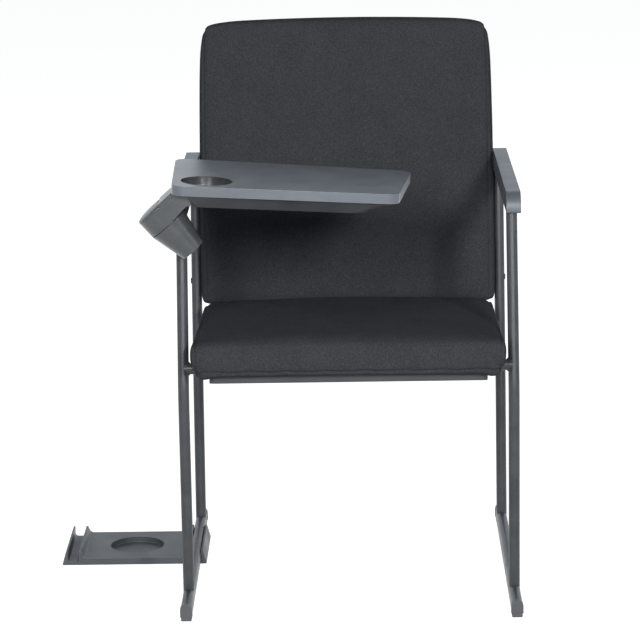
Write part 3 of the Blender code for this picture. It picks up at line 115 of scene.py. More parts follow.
level = Vector((-math.sin(YAW), math.cos(YAW), 0))
right_level = Vector((math.cos(YAW), math.sin(YAW), 0))
up = Vector((0, 0, 1))
forward = math.cos(PITCH) * level - math.sin(PITCH) * up
down_level = -math.sin(PITCH) * level - math.cos(PITCH) * up
right = math.cos(ROLL) * right_level - math.sin(ROLL) * down_level
down = math.sin(ROLL) * right_level + math.cos(ROLL) * down_level
turned = Matrix((right, -down, -forward)).transposed().to_4x4()
camera = put("camera", bpy.data.cameras.new("camera"))
camera.data.sensor_width = SENSOR
camera.data.lens = FOCAL_PIXELS / IMAGE_PIXELS * SENSOR
camera.matrix_world = Matrix.Translation(place(*CAMERA_AT)) @ turned
SCENE.camera = camera
print("lens", round(camera.data.lens, 1), "mm")

# %% [markdown]
# ## Small helpers for node trees
# Every finish below is a node tree. A few helpers keep its lines short: they add a node with its
# settings, feed a socket with a link or a plain value, and chain sums, blends, noise and groups.

# %% Node helpers


def add(tree, kind, inputs=None, **settings):
    """A new node with these settings, its inputs fed by name or number."""
    made = tree.nodes.new(kind)
    for key, value in settings.items():
        setattr(made, key, value)
    for key, value in (inputs or {}).items():
        feed(tree, made.inputs[key], value)
    return made


def feed(tree, socket, value):
    if isinstance(value, bpy.types.NodeSocket):
        tree.links.new(value, socket)
    else:
        socket.default_value = value


def calc(tree, operation, *values):
    return add(tree, "ShaderNodeMath", dict(enumerate(values)), operation=operation).outputs[0]


def spread(tree, value, low, high, to_low=0.0, to_high=1.0):
    """Remap a value from one range to another, held inside the second."""
    inputs = dict(enumerate((value, low, high, to_low, to_high)))
    return add(tree, "ShaderNodeMapRange", inputs, clamp=True).outputs[0]


def blend_colours(tree, share, first, second):
    """A mix of two colours. Sockets 6 and 7 and output 2 are the Mix node's colour ones."""
    return add(tree, "ShaderNodeMix", {"Factor": share, 6: first, 7: second}, data_type="RGBA").outputs[2]


def new_group(name, inputs, outputs):
    """An empty shader group with named sockets: its tree, its input node and its output node."""
    tree = bpy.data.node_groups.new(name, "ShaderNodeTree")
    for label, value in inputs.items():
        socket = tree.interface.new_socket(label, in_out="INPUT", socket_type="NodeSocketFloat")
        socket.default_value = value
    for label in outputs:
        tree.interface.new_socket(label, in_out="OUTPUT", socket_type="NodeSocketFloat")
    return tree, add(tree, "NodeGroupInput"), add(tree, "NodeGroupOutput")


def use_group(tree, group, **values):
    inputs = {label.capitalize(): value for label, value in values.items()}
    return add(tree, "ShaderNodeGroup", inputs, node_tree=group).outputs


def rough_noise(tree, size, detail):
    """Noise whose grains are about this many metres across, on Object coordinates."""
    at, scale = add(tree, "ShaderNodeTexCoord").outputs["Object"], calc(tree, "DIVIDE", 1.0, size)
    return add(tree, "ShaderNodeTexNoise", {"Vector": at, "Scale": scale, "Detail": detail}).outputs["Fac"]


print("node helpers ready")

# %% [markdown]
# ## Effects that several finishes share
# Each is a node group with named inputs. Woven cloth has over-and-under threads in two
# directions, seen on all three planes at once and blended by the way the surface faces, so that
# no unwrapping is needed. Powder coat has an orange peel, moulded plastic a fine spark grain,
# edges are rubbed a little paler by hands and feet, and dust settles on what faces up.
# On the linking plate the paler edges go further, as a painted highlight along its edges.

# %% Weave cell
CROSSING = 0.35
tree, given, out = new_group("weave_cell", {"U": 0.0, "V": 0.0}, ["Height"])
waves = [calc(tree, "SINE", calc(tree, "MULTIPLY", given.outputs[axis], math.pi)) for axis in "UV"]
over = spread(tree, calc(tree, "MULTIPLY", *waves), -CROSSING, CROSSING)
warp = calc(tree, "MULTIPLY", calc(tree, "ABSOLUTE", waves[0]), over)
weft = calc(tree, "MULTIPLY", calc(tree, "ABSOLUTE", waves[1]), calc(tree, "SUBTRACT", 1.0, over))
feed(tree, out.inputs["Height"], calc(tree, "ADD", warp, weft))
weave_cell = tree
print("weave cell:", len(weave_cell.nodes), "nodes")

# %% Cloth weave
WOBBLES_PER_THREAD, WOBBLE = 0.22, 0.0012
PLANES, PLANE_SHARPNESS = ((1, 2), (0, 2), (0, 1)), 6.0
FUZZ_THREADS, FLECK_THREADS = 1.7, 2.6

tree, given, out = new_group("cloth_weave", {"Thread": 0.001, "Unevenness": 0.4}, ["Height", "Fleck"])
thread = given.outputs["Thread"]
where = add(tree, "ShaderNodeTexCoord").outputs
scale = calc(tree, "DIVIDE", WOBBLES_PER_THREAD, thread)
wobble = add(tree, "ShaderNodeTexNoise", {"Vector": where["Object"], "Scale": scale}).outputs["Color"]
shifted = add(tree, "ShaderNodeVectorMath", {0: wobble, 1: (WOBBLE,) * 3, 2: where["Object"]},
              operation="MULTIPLY_ADD").outputs[0]
threads = add(tree, "ShaderNodeVectorMath", {0: shifted, "Scale": calc(tree, "DIVIDE", 1.0, thread)},
              operation="SCALE").outputs[0]
split = add(tree, "ShaderNodeSeparateXYZ", {0: threads})
facing = add(tree, "ShaderNodeSeparateXYZ", {0: where["Normal"]})
total = summed = 0.0
for axis, (first, second) in enumerate(PLANES):
    weight = calc(tree, "POWER", calc(tree, "ABSOLUTE", facing.outputs[axis]), PLANE_SHARPNESS)
    height = use_group(tree, weave_cell, u=split.outputs[first], v=split.outputs[second])[0]
    total = calc(tree, "ADD", weight, total)
    summed = calc(tree, "MULTIPLY_ADD", height, weight, summed)
fuzz = rough_noise(tree, calc(tree, "MULTIPLY", thread, FUZZ_THREADS), 3.0)
lumpy = calc(tree, "MULTIPLY", fuzz, given.outputs["Unevenness"])
feed(tree, out.inputs["Height"], calc(tree, "ADD", calc(tree, "DIVIDE", summed, total), lumpy))
feed(tree, out.inputs["Fleck"], rough_noise(tree, calc(tree, "MULTIPLY", thread, FLECK_THREADS), 2.0))
cloth_weave = tree
print("cloth weave:", len(cloth_weave.nodes), "nodes")

# %% Powder coat and moulded grain
MOTTLE_PEELS, GLOSS_PITS = 26.0, 70.0

tree, given, out = new_group("orange_peel", {"Size": 0.0012}, ["Height", "Mottle"])
size = given.outputs["Size"]
feed(tree, out.inputs["Height"], rough_noise(tree, size, 1.0))
feed(tree, out.inputs["Mottle"], rough_noise(tree, calc(tree, "MULTIPLY", size, MOTTLE_PEELS), 3.0))
orange_peel = tree

tree, given, out = new_group("spark_grain", {"Size": 0.0006}, ["Height", "Gloss"])
size = given.outputs["Size"]
at, scale = add(tree, "ShaderNodeTexCoord").outputs["Object"], calc(tree, "DIVIDE", 1.0, size)
pits = add(tree, "ShaderNodeTexVoronoi", {"Vector": at, "Scale": scale}, feature="SMOOTH_F1")
feed(tree, out.inputs["Height"], pits.outputs["Distance"])
feed(tree, out.inputs["Gloss"], rough_noise(tree, calc(tree, "MULTIPLY", size, GLOSS_PITS), 3.0))
spark_grain = tree
print("grain:", orange_peel.name, spark_grain.name)

# %% Rubbed edges, also a painted highlight, and dust
EDGE_STARTS, EDGE_BARE, RUB_PATCH = 0.99, 0.80, 0.006
LYING_FROM, SPECK_SIZE, SPECKS_FROM, SPECKS_TO = 0.55, 0.0035, 0.52, 0.74
SPECK_FILM, EVEN_FILM = 0.6, 0.2

# Paler edges stand for wear, and on the linking plate also for a painted highlight.
tree, given, out = new_group("rubbed_edge", {"Width": 0.0012}, ["Mask"])
softened = add(tree, "ShaderNodeBevel", {"Radius": given.outputs["Width"]}, samples=4).outputs[0]
plain = add(tree, "ShaderNodeNewGeometry").outputs["Normal"]
aligned = add(tree, "ShaderNodeVectorMath", {0: softened, 1: plain}, operation="DOT_PRODUCT")
bare = spread(tree, aligned.outputs["Value"], EDGE_STARTS, EDGE_BARE)
feed(tree, out.inputs["Mask"], calc(tree, "MULTIPLY", bare, rough_noise(tree, RUB_PATCH, 3.0)))
rubbed_edge = tree

tree, given, out = new_group("settled_dust", {"Amount": 0.3}, ["Mask"])
facing = add(tree, "ShaderNodeSeparateXYZ", {0: add(tree, "ShaderNodeTexCoord").outputs["Normal"]})
lying = spread(tree, facing.outputs["Z"], LYING_FROM, 1.0)
specks = spread(tree, rough_noise(tree, SPECK_SIZE, 6.0), SPECKS_FROM, SPECKS_TO)
film = calc(tree, "MULTIPLY", calc(tree, "MULTIPLY_ADD", specks, SPECK_FILM, EVEN_FILM), lying)
feed(tree, out.inputs["Mask"], calc(tree, "MULTIPLY", film, given.outputs["Amount"]))
settled_dust = tree
print("shared effects:", [group.name for group in bpy.data.node_groups])

# %% [markdown]
# ## Finishes
# A finish is a Principled shader with the groups above plugged into its colour, roughness and
# bump. Values that are the same all over, such as metal or coat, stay on the shader's own
# sockets. Colours are written as linear shares of red, green and blue.

# %% Finish builder
DUST_AMOUNT = 0.10
MIDTONES = 0.3, 0.7


def start_finish(name, roughness, **plain):
    finish = bpy.data.materials.new(name)
    finish.use_nodes = True
    tree = finish.node_tree
    shader = next(node for node in tree.nodes if node.type == "BSDF_PRINCIPLED")
    shader.inputs["Roughness"].default_value = roughness
    for label, value in plain.items():
        shader.inputs[label.replace("_", " ")].default_value = value
    return finish, tree, shader


def raise_surface(tree, shader, height, depth, strength):
    bump = add(tree, "ShaderNodeBump", {"Strength": strength, "Distance": depth, "Height": height})
    feed(tree, shader.inputs["Normal"], bump.outputs["Normal"])


def vary_roughness(tree, shader, mask, roughness, less=0.05, more=0.06):
    varied = spread(tree, mask, *MIDTONES, roughness - less, roughness + more)
    feed(tree, shader.inputs["Roughness"], varied)


def paler(colour, share, towards=1.0):
    return tuple(c + (towards - c) * share for c in colour[:3]) + (1.0,)


def aged(tree, tone, edge, width, wear_and_highlight, dust):
    """A tone whose edges are paler, from rubbing and, at high amounts, as a painted highlight, with dust on
    what faces up.
    """
    rub_and_highlight = calc(tree, "MULTIPLY", use_group(tree, rubbed_edge, width=width)[0], wear_and_highlight)
    film = use_group(tree, settled_dust, amount=DUST_AMOUNT)[0]
    return blend_colours(tree, film, blend_colours(tree, rub_and_highlight, tone, edge), dust)


print("finish builder ready")

# %% Paint and plastic


def powder_coat(name, colour, roughness):
    """Baked powder paint on steel: orange peel, faint mottling, edges rubbed and a film of dust."""
    finish, tree, shader = start_finish(name, roughness, Specular_IOR_Level=0.35)
    peel = use_group(tree, orange_peel, size=0.0011)
    tone = blend_colours(tree, peel["Mottle"], paler(colour, -0.10, 0.4), paler(colour, 0.025))
    shown = aged(tree, tone, paler(colour, 0.22), width=0.0009, wear_and_highlight=0.35, dust=(0.42, 0.42, 0.43, 1))
    feed(tree, shader.inputs["Base Color"], shown)
    vary_roughness(tree, shader, peel["Mottle"], roughness)
    raise_surface(tree, shader, peel["Height"], depth=0.00012, strength=0.35)
    return finish


def moulded_plastic(name, colour, roughness, grain=0.0006, depth=0.00006, polish=0.0, wear_and_highlight=0.30):
    """Textured moulding: spark grain, gloss that varies from place to place and paler edges."""
    finish, tree, shader = start_finish(name, roughness, Coat_Weight=polish, Coat_Roughness=0.36)
    spark = use_group(tree, spark_grain, size=grain)
    tone = blend_colours(tree, spark["Gloss"], paler(colour, -0.06, 0.5), paler(colour, 0.02))
    shown = aged(tree, tone, paler(colour, 0.30), width=0.0012, wear_and_highlight=wear_and_highlight, dust=(0.45, 0.45, 0.46, 1))
    feed(tree, shader.inputs["Base Color"], shown)
    vary_roughness(tree, shader, spark["Gloss"], roughness)
    raise_surface(tree, shader, spark["Height"], depth, strength=0.5)
    return finish


PLASTICS = {
    "tablet_plastic": ((0.108, 0.123, 0.145), 0.34, dict(grain=0.0005, depth=0.000012, polish=0.60)),
    "arm_plastic": ((0.102, 0.116, 0.138), 0.42, dict(depth=0.00002, polish=0.15)),
    "hinge_plastic": ((0.048, 0.054, 0.060), 0.27, dict(depth=0.00002, polish=0.35)),
    "tray_plastic": ((0.070, 0.075, 0.080), 0.42, {}),
    # The cup recess's darker colour is painted shade inside the recess; its coat is real gloss.
    "cup_plastic": ((0.038, 0.042, 0.047), 0.24, dict(grain=0.0005, depth=0.00001, polish=0.90)),
    # The linking plate's edges go fully paler: partly wear, partly a painted highlight along its edges.
    "plate_plastic": ((0.066, 0.073, 0.085), 0.44, dict(grain=0.0008, wear_and_highlight=1.0)),
    "pan_plastic": ((0.029, 0.031, 0.034), 0.52, dict(grain=0.0008)),
    "shell_plastic": ((0.034, 0.035, 0.038), 0.46, dict(grain=0.0009, depth=0.00009)),
    "cap_plastic": ((0.086, 0.091, 0.099), 0.45, dict(wear_and_highlight=0.8)),
    "glide_plastic": ((0.085, 0.087, 0.090), 0.55, {}),
    "washer_plastic": ((0.015, 0.015, 0.016), 0.45, {}),
}
FINISH = {"tube_paint": powder_coat("tube_paint", (0.052, 0.055, 0.060), 0.38)}
for name, (colour, roughness, more) in PLASTICS.items():
    FINISH[name] = moulded_plastic(name, colour, roughness, **more)
print("paint and plastics:", ", ".join(FINISH))

# %% Cloth, steel and plywood


def felted_cloth(name, colour):
    """Dense wool-like weave: threads with painted shade between them, lint flecks and slow changes of tone.
    """
    finish, tree, shader = start_finish(name, 0.92, Specular_IOR_Level=0.04)
    weave = use_group(tree, cloth_weave, thread=0.0010, unevenness=0.9)
    raised = spread(tree, weave["Height"], 0.35, 1.25)
    # The low places between threads are painted nearly black: painted shade between the threads.
    gap_shade = blend_colours(tree, raised, paler(colour, -0.9, 0.2), paler(colour, 0.02))
    mixed = spread(tree, weave["Fleck"], *MIDTONES)
    melange = blend_colours(tree, mixed, paler(colour, 0.35, 0.0), paler(colour, 0.024))
    yarn = blend_colours(tree, 0.55, gap_shade, melange)
    lint = spread(tree, weave["Fleck"], 0.68, 0.80, 0.0, 0.12)
    flecked = blend_colours(tree, lint, yarn, (0.20, 0.20, 0.22, 1))
    faded = spread(tree, rough_noise(tree, 0.05, 4.0), 0.35, 0.65, 0.0, 0.06)
    feed(tree, shader.inputs["Base Color"], blend_colours(tree, faded, flecked, (0.12, 0.12, 0.13, 1)))
    raise_surface(tree, shader, weave["Height"], depth=0.00035, strength=0.8)
    return finish


def turned_steel(name, colour, roughness):
    """Zinc-plated or blackened fastener steel with fine plating marks."""
    finish, tree, shader = start_finish(name, roughness, Metallic=1.0)
    peel = use_group(tree, orange_peel, size=0.0005)
    rub_and_highlight = calc(tree, "MULTIPLY", use_group(tree, rubbed_edge, width=0.0005)[0], 0.5)
    tone = blend_colours(tree, peel["Mottle"], paler(colour, -0.2, 0.0), colour)
    feed(tree, shader.inputs["Base Color"], blend_colours(tree, rub_and_highlight, tone, paler(colour, 0.3)))
    vary_roughness(tree, shader, peel["Height"], roughness, less=0.06, more=0.08)
    raise_surface(tree, shader, peel["Height"], depth=0.00003, strength=0.3)
    return finish


def layered_plywood(name):
    """Birch plywood: long grain on its faces and dark glue lines in its edges."""
    finish, tree, shader = start_finish(name, 0.6)
    at = add(tree, "ShaderNodeTexCoord").outputs["Object"]
    long = add(tree, "ShaderNodeMapping", {"Vector": at, "Scale": (8.0, 60.0, 700.0)}).outputs[0]
    grain = add(tree, "ShaderNodeTexNoise", {"Vector": long, "Scale": 1.0, "Detail": 5.0}).outputs["Fac"]
    dark = spread(tree, grain, 0.35, 0.65)
    wood = blend_colours(tree, dark, (0.52, 0.35, 0.19, 1), (0.36, 0.22, 0.11, 1))
    feed(tree, shader.inputs["Base Color"], wood)
    raise_surface(tree, shader, grain, depth=0.0002, strength=0.4)
    return finish


FINISH["charcoal_cloth"] = felted_cloth("charcoal_cloth", (0.0405, 0.0440, 0.0520))
FINISH["zinc_steel"] = turned_steel("zinc_steel", (0.56, 0.56, 0.55, 1), 0.34)
FINISH["black_steel"] = turned_steel("black_steel", (0.05, 0.05, 0.052, 1), 0.38)
FINISH["plywood"] = layered_plywood("plywood")
print("finishes:", len(FINISH))

# %% [markdown]
# ## Floor, background and light
# The photograph is a studio shot on white. Two soft shadows below the tablet and one beside the
# arm say that two lamps stood left and right of the camera, a little above it. Weak lamps at the
# sides and behind stand for light from the walls. Floor and world show white to the camera and
# pale to reflections, but the world lights the chair only at a low, slightly cool level. Overhead
# the studio is grey, which darkens the rounded noses of the arms as in the photograph. The floor
# keeps part of its lit colour, so the chair still has a soft shadow.

# %% World
WHITE, COOL = (1, 1, 1, 1), (0.87, 0.94, 1.0, 1)
AMBIENT = 0.085
CEILING, CEILING_STARTS, CEILING_FULL = 0.10, 0.50, 0.85


def seen_directly(tree):
    """One where a ray comes from the camera, a reflection or through glass, and zero elsewhere."""
    path = add(tree, "ShaderNodeLightPath")
    either = calc(tree, "MAXIMUM", path.outputs["Is Camera Ray"], path.outputs["Is Glossy Ray"])
    return calc(tree, "MAXIMUM", either, path.outputs["Is Transmission Ray"])


SCENE.world = bpy.data.worlds.new("studio")
SCENE.world.use_nodes = True
sky = SCENE.world.node_tree
surround = next(node for node in sky.nodes if node.type == "BACKGROUND")
from_camera = add(sky, "ShaderNodeLightPath").outputs["Is Camera Ray"]
feed(sky, surround.inputs["Color"], blend_colours(sky, from_camera, COOL, WHITE))
direction = add(sky, "ShaderNodeSeparateXYZ", {0: add(sky, "ShaderNodeTexCoord").outputs["Generated"]})
backdrop = spread(sky, direction.outputs["Z"], CEILING_STARTS, CEILING_FULL, 1.0, CEILING)
feed(sky, surround.inputs["Strength"], spread(sky, seen_directly(sky), 0.0, 1.0, AMBIENT, backdrop))
SCENE.view_settings.view_transform = "Standard"
print("world:", len(sky.nodes), "nodes")

# %% Floor
FLOOR_HALF, FLOOR_GREY, FLOOR_GLOW = 14.0, (0.55, 0.55, 0.55, 1), 0.92

floor_paint = bpy.data.materials.new("floor_paint")
floor_paint.use_nodes = True
paint = floor_paint.node_tree
paint.nodes.clear()
lit = add(paint, "ShaderNodeBsdfDiffuse", {"Color": FLOOR_GREY}).outputs[0]
strength = calc(paint, "MULTIPLY", seen_directly(paint), FLOOR_GLOW)
glow = add(paint, "ShaderNodeEmission", {"Strength": strength}).outputs[0]
both = add(paint, "ShaderNodeAddShader", {0: lit, 1: glow}).outputs[0]
add(paint, "ShaderNodeOutputMaterial", {"Surface": both})
sheet_mesh = bpy.data.meshes.new("floor")
corners = [(FLOOR_HALF * x, FLOOR_HALF * y, 0) for x, y in ((-1, -1), (1, -1), (1, 1), (-1, 1))]
sheet_mesh.from_pydata(corners, [], [(0, 1, 2, 3)])
sheet_mesh.materials.append(floor_paint)
floor = put("floor", sheet_mesh)
print("floor", 2 * FLOOR_HALF, "m wide")

# %% Lamps
MIDDLE = Vector((0.1, -0.05, 0.5))
LAMPS = {
    "left_key": ((-0.75, -4.2, 2.32), (0.6, 1.2), 106),
    "right_key": ((1.42, -4.2, 2.14), (0.5, 0.8), 106),
    "left_fill": ((-3.2, -1.6, 1.4), (0.8, 2.0), 4),
    "right_fill": ((3.4, -1.6, 1.4), (0.8, 2.0), 7),
    "left_rear": ((-2.6, 3.4, 1.7), (1.2, 1.6), 40),
    "right_rear": ((2.6, 3.4, 1.7), (1.2, 1.6), 40),
}
for name, (at, (wide, tall), watts) in LAMPS.items():
    lamp = bpy.data.lights.new(name, "AREA")
    lamp.shape, lamp.size, lamp.size_y, lamp.energy = "RECTANGLE", wide, tall, watts
    holder = put(name, lamp)
    aim = (MIDDLE - Vector(at)).to_track_quat("-Z", "Y").to_matrix().to_4x4()
    holder.matrix_world = Matrix.Translation(at) @ aim
    holder.visible_glossy = "rear" not in name
print("lights:", ", ".join(LAMPS))

# %% [markdown]
# ## Rigid pieces from their solids
# Moulded and pressed pieces already have their shape in the model, as loose triangles. A copy is
# merged, its flat triangles are joined into larger faces, a small bevel catches light on its
# sharp edges, and it is shaded smooth up to an angle. Weighted normals keep the wide faces flat,
# because plain smoothing would let each bevel bend the light far across them. The linking plate
# also gets the fillets that its mould would leave. The copy then stands for the solid.

# %% Mesh helpers
MERGE = 0.00002
FLAT, SHARP = math.radians(0.4), math.radians(32)


def merged_copy(node):
    """The node's loose triangles as one connected mesh."""
    bm = bmesh.new()
    bm.from_mesh(NODES[node].data)
    bmesh.ops.remove_doubles(bm, verts=bm.verts, dist=MERGE)
    return bm


def finish_mesh(bm, name):
    mesh = bpy.data.meshes.new(name)
    bm.to_mesh(mesh)
    bm.free()
    return mesh


def vectors(items, key):
    found = np.empty(len(items) * 3, np.float32)
    items.foreach_get(key, found)
    return found.reshape(-1, 3).astype(float)


def coordinates(mesh):
    return vectors(mesh.vertices, "co")


def shade(mesh):
    """Smooth shading, broken at sharp edges."""
    mesh.shade_smooth()
    mesh.set_sharp_from_angle(angle=SHARP)


def give_finish(mesh, finish):
    mesh.materials.clear()
    mesh.materials.append(FINISH[finish])
    return mesh


def shown_mesh(piece):
    """A new mesh of what the piece's modifiers show."""
    bpy.context.view_layer.update()
    shown = piece.evaluated_get(bpy.context.evaluated_depsgraph_get())
    return bpy.data.meshes.new_from_object(shown)


def settle_modifiers(piece):
    """Turn what the modifiers show into the piece's own mesh, and remove them."""
    mesh = shown_mesh(piece)
    mesh.name = piece.name
    piece.modifiers.clear()
    piece.data = mesh


def hand_over(piece, slot, *nodes, body="chair"):
    """Put a piece on its body, in place of the solids it stands for. The slot is not used."""
    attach(piece, body)
    if nodes:
        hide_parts(*nodes)


def body_holding(node):
    return NODES[node]["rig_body"]


print("mesh helpers ready")

# %% Dress one rigid solid
LINK_PLATE_LONG, FREE_CHANNEL_END = 0.10, -0.30
SQUARE, LEAST_FOOT = math.radians(80), math.radians(40)
CHANNEL_FILLET, FOOT_FILLET, FILLET_STEPS = 0.005, 0.003, 5


def round_free_channel(bm):
    """Fillet the linking plate's free channel and the feet of its ribs, as its mould would."""
    inside = [edge for edge in bm.edges if not edge.is_convex and edge.calc_length() > LINK_PLATE_LONG]
    free = [edge for edge in inside
            if edge.calc_face_angle() > SQUARE and edge.verts[0].co.x < FREE_CHANNEL_END]
    feet = [edge for edge in inside if LEAST_FOOT < edge.calc_face_angle() < SQUARE]
    for hollows, radius in ((free, CHANNEL_FILLET), (feet, FOOT_FILLET)):
        bmesh.ops.bevel(bm, geom=hollows, offset=radius, offset_type="OFFSET", segments=FILLET_STEPS,
                        profile=0.5, affect="EDGES", clamp_overlap=True)
    print("filleted", len(free), "channel corners and", len(feet), "rib feet")


def dress(node, finish, slot, bevel):
    """A smooth, slightly bevelled copy of a rigid solid, on its body and in its place."""
    bm = merged_copy(node)
    bmesh.ops.dissolve_limit(bm, angle_limit=FLAT, verts=bm.verts, edges=bm.edges)
    if node == "link_plate":
        round_free_channel(bm)
    piece = put(node + "_dressed", give_finish(finish_mesh(bm, node), finish))
    if bevel:
        rounding = piece.modifiers.new("edge", "BEVEL")
        rounding.width, rounding.segments = bevel, 2
        rounding.limit_method, rounding.angle_limit = "ANGLE", SHARP
        settle_modifiers(piece)
    shade(piece.data)
    even_flats = piece.modifiers.new("even_flats", "WEIGHTED_NORMAL")
    even_flats.mode, even_flats.weight, even_flats.keep_sharp = "FACE_AREA", 100, True
    settle_modifiers(piece)
    hand_over(piece, slot, node, body=body_holding(node))


print("ready to dress")

# %% Dress the rigid solids
DRESSED = [
    ("tablet_top", "tablet_plastic", "grey_plastic", 0.0006),
    ("tablet_undertray", "tray_plastic", "grey_plastic", 0.0008),
    ("hinge_head", "hinge_plastic", "grey_plastic", 0.0006),
    ("head_dome", "hinge_plastic", "grey_plastic", 0.0004),
    ("hinge_socket", "hinge_plastic", "grey_plastic", 0.0006),
    ("hinge_clamp", "hinge_plastic", "grey_plastic", 0.0),
    ("friction_washer", "washer_plastic", "nylon", 0.0),
    ("socket_plug", "pan_plastic", "black_plastic", 0.0003),
    ("link_plate", "plate_plastic", "grey_plastic", 0.0012),
    ("seat_pan", "pan_plastic", "black_plastic", 0.0006),
    ("back_shell", "shell_plastic", "black_plastic", 0.0006),
]
for side in SIDES:
    DRESSED += [
        (side + "_armrest", "arm_plastic", "grey_plastic", 0.0),
        (side + "_runner", "tube_paint", "graphite_paint", 0.0003),
        (side + "_arm_bar", "tube_paint", "graphite_paint", 0.0005),
        (side + "_seat_rail", "tube_paint", "graphite_paint", 0.0006),
    ]
    for end in ENDS:
        DRESSED += [
            (f"{side}_{end}_cap", "cap_plastic", "grey_plastic", 0.0009),
            (f"{side}_{end}_glide", "glide_plastic", "nylon", 0.0),
        ]
SLOTS = {entry["slot"] for entry in frame["record"]["materials"]}
for node, finish, slot, bevel in DRESSED:
    assert slot in SLOTS, slot
    dress(node, finish, slot, bevel)
for node in ("seat_board", "back_board"):
    give_finish(NODES[node].data, "plywood")
for node in ("pivot_bolt", "disc_spring", "lock_nut"):
    give_finish(NODES[node].data, "zinc_steel")
print("dressed", len(DRESSED), "solids")

# %% [markdown]
# ## Painted shade in the cup recess
# The recess for a cup is darker than the tablet round it, as painted shade, and glossier. Its faces
# are those inside the recess's radius and below the writing surface, so they take a second finish.

# %% Paint shade into the cup recess
TABLET_CORNER, TABLET_TILT = (-0.280, 0.050, 0.7005), math.radians(3.06)
CUP_CENTRE, CUP_RADIUS = Vector((0.060, 0.054)), 0.0412
CUP_LIP, CUP_FLOOR = -0.0003, -0.0155

tablet = bpy.data.objects["tablet_top_dressed"]
tablet.data.materials.append(FINISH["cup_plastic"])
tablet_frame = Matrix.Translation(place(*TABLET_CORNER)) @ Matrix.Rotation(TABLET_TILT, 4, "Y")
into_tablet = tablet_frame.inverted()
recess_shade_faces = 0
for face in tablet.data.polygons:
    centre = into_tablet @ face.center
    if (centre.xy - CUP_CENTRE).length < CUP_RADIUS and CUP_FLOOR < centre.z < CUP_LIP:
        face.material_index = 1
        recess_shade_faces += 1
print("cup lining:", recess_shade_faces, "faces")

# %% [markdown]
# ## Tubes, swept along their bent centre lines
# Uprights and crossbars are round tube. Their shape follows a rule, a circle carried along a line,
# so Geometry Nodes make them: the line comes in, a named radius and number of sides shape it, and
# a smooth tube comes out. The solids have sixteen sides, and these have many more.

# %% Geometry helpers
FLOAT, WHOLE = "NodeSocketFloat", "NodeSocketInt"
MATERIAL, OBJECT = "NodeSocketMaterial", "NodeSocketObject"


def new_tree(name, inputs):
    """A Geometry Nodes tree with a geometry input and output and named sizes."""
    tree = bpy.data.node_groups.new(name, "GeometryNodeTree")
    tree.interface.new_socket("Geometry", in_out="INPUT", socket_type="NodeSocketGeometry")
    for label, (kind, value) in inputs.items():
        socket = tree.interface.new_socket(label, in_out="INPUT", socket_type=kind)
        if value is not None:
            socket.default_value = value
    tree.interface.new_socket("Geometry", in_out="OUTPUT", socket_type="NodeSocketGeometry")
    return tree, add(tree, "NodeGroupInput"), add(tree, "NodeGroupOutput")


def close_tree(tree, made, finish_socket, out):
    """Realize what was made, give it its finish and hand it out."""
    real = add(tree, "GeometryNodeRealizeInstances", {"Geometry": made}).outputs[0]
    painted = add(tree, "GeometryNodeSetMaterial", {"Geometry": real, "Material": finish_socket})
    feed(tree, out.inputs["Geometry"], painted.outputs[0])


def run_tree(source, tree, **values):
    """Run a tree on an object, and give back the mesh that it makes in place of the object."""
    modifier = source.modifiers.new("nodes", "NODES")
    modifier.node_group = tree
    names = {item.name: item.identifier for item in tree.interface.items_tree if item.in_out == "INPUT"}
    for label, value in values.items():
        modifier[names[label.capitalize()]] = value
    mesh = shown_mesh(source)
    bpy.data.objects.remove(source)
    return mesh


def polyline(name, lines, tapered=False):
    """A curve object of straight-sided splines through these points, thin at the ends if tapered."""
    curve = bpy.data.curves.new(name, "CURVE")
    curve.dimensions = "3D"
    for points in lines:
        spline = curve.splines.new("POLY")
        spline.points.add(len(points) - 1)
        for index, (knot, point) in enumerate(zip(spline.points, points)):
            knot.co = (*point, 1.0)
            knot.radius = math.sqrt(math.sin(math.pi * index / (len(points) - 1))) if tapered else 1.0
    return put(name, curve)


print("geometry helpers ready")

# %% Sweep tree
sweep, sweep_in, sweep_out = new_tree("sweep_tube", {
    "Radius": (FLOAT, 0.009), "Sides": (WHOLE, 40), "Finish": (MATERIAL, None)})
ring = add(sweep, "GeometryNodeCurvePrimitiveCircle", {
    "Radius": sweep_in.outputs["Radius"], "Resolution": sweep_in.outputs["Sides"]})
swept = add(sweep, "GeometryNodeCurveToMesh", {
    "Curve": sweep_in.outputs["Geometry"], "Profile Curve": ring.outputs[0], "Fill Caps": True})
close_tree(sweep, swept.outputs[0], sweep_in.outputs["Finish"], sweep_out)
print("sweep tree:", len(sweep.nodes), "nodes")

# %% Uprights and crossbars
TRACK, TUBE_RADIUS, TUBE_SIDES = 0.530, 0.009, 44
BEND_RADIUS, ARC_STEPS = 0.250, 14
FRONT_FOOT_Y, FRONT_BEND, FRONT_LEAN = 0.091, 0.348, math.radians(14.1)
REAR_FOOT_Y, REAR_BEND = 0.494, 0.248
REAR_LOWER_LEAN, REAR_UPPER_LEAN = math.radians(6.4), math.radians(10.7)
FRONT_BAR, REAR_BAR = 0.392, 0.357
FOOT_HEIGHT, TOP_INSET = 0.019, 0.0015


def front_y(height):
    return FRONT_FOOT_Y + max(0.0, height - FRONT_BEND) * math.tan(FRONT_LEAN)


def rear_y(height):
    lower = min(height, REAR_BEND) * math.tan(REAR_LOWER_LEAN)
    return REAR_FOOT_Y + lower + max(0.0, height - REAR_BEND) * math.tan(REAR_UPPER_LEAN)


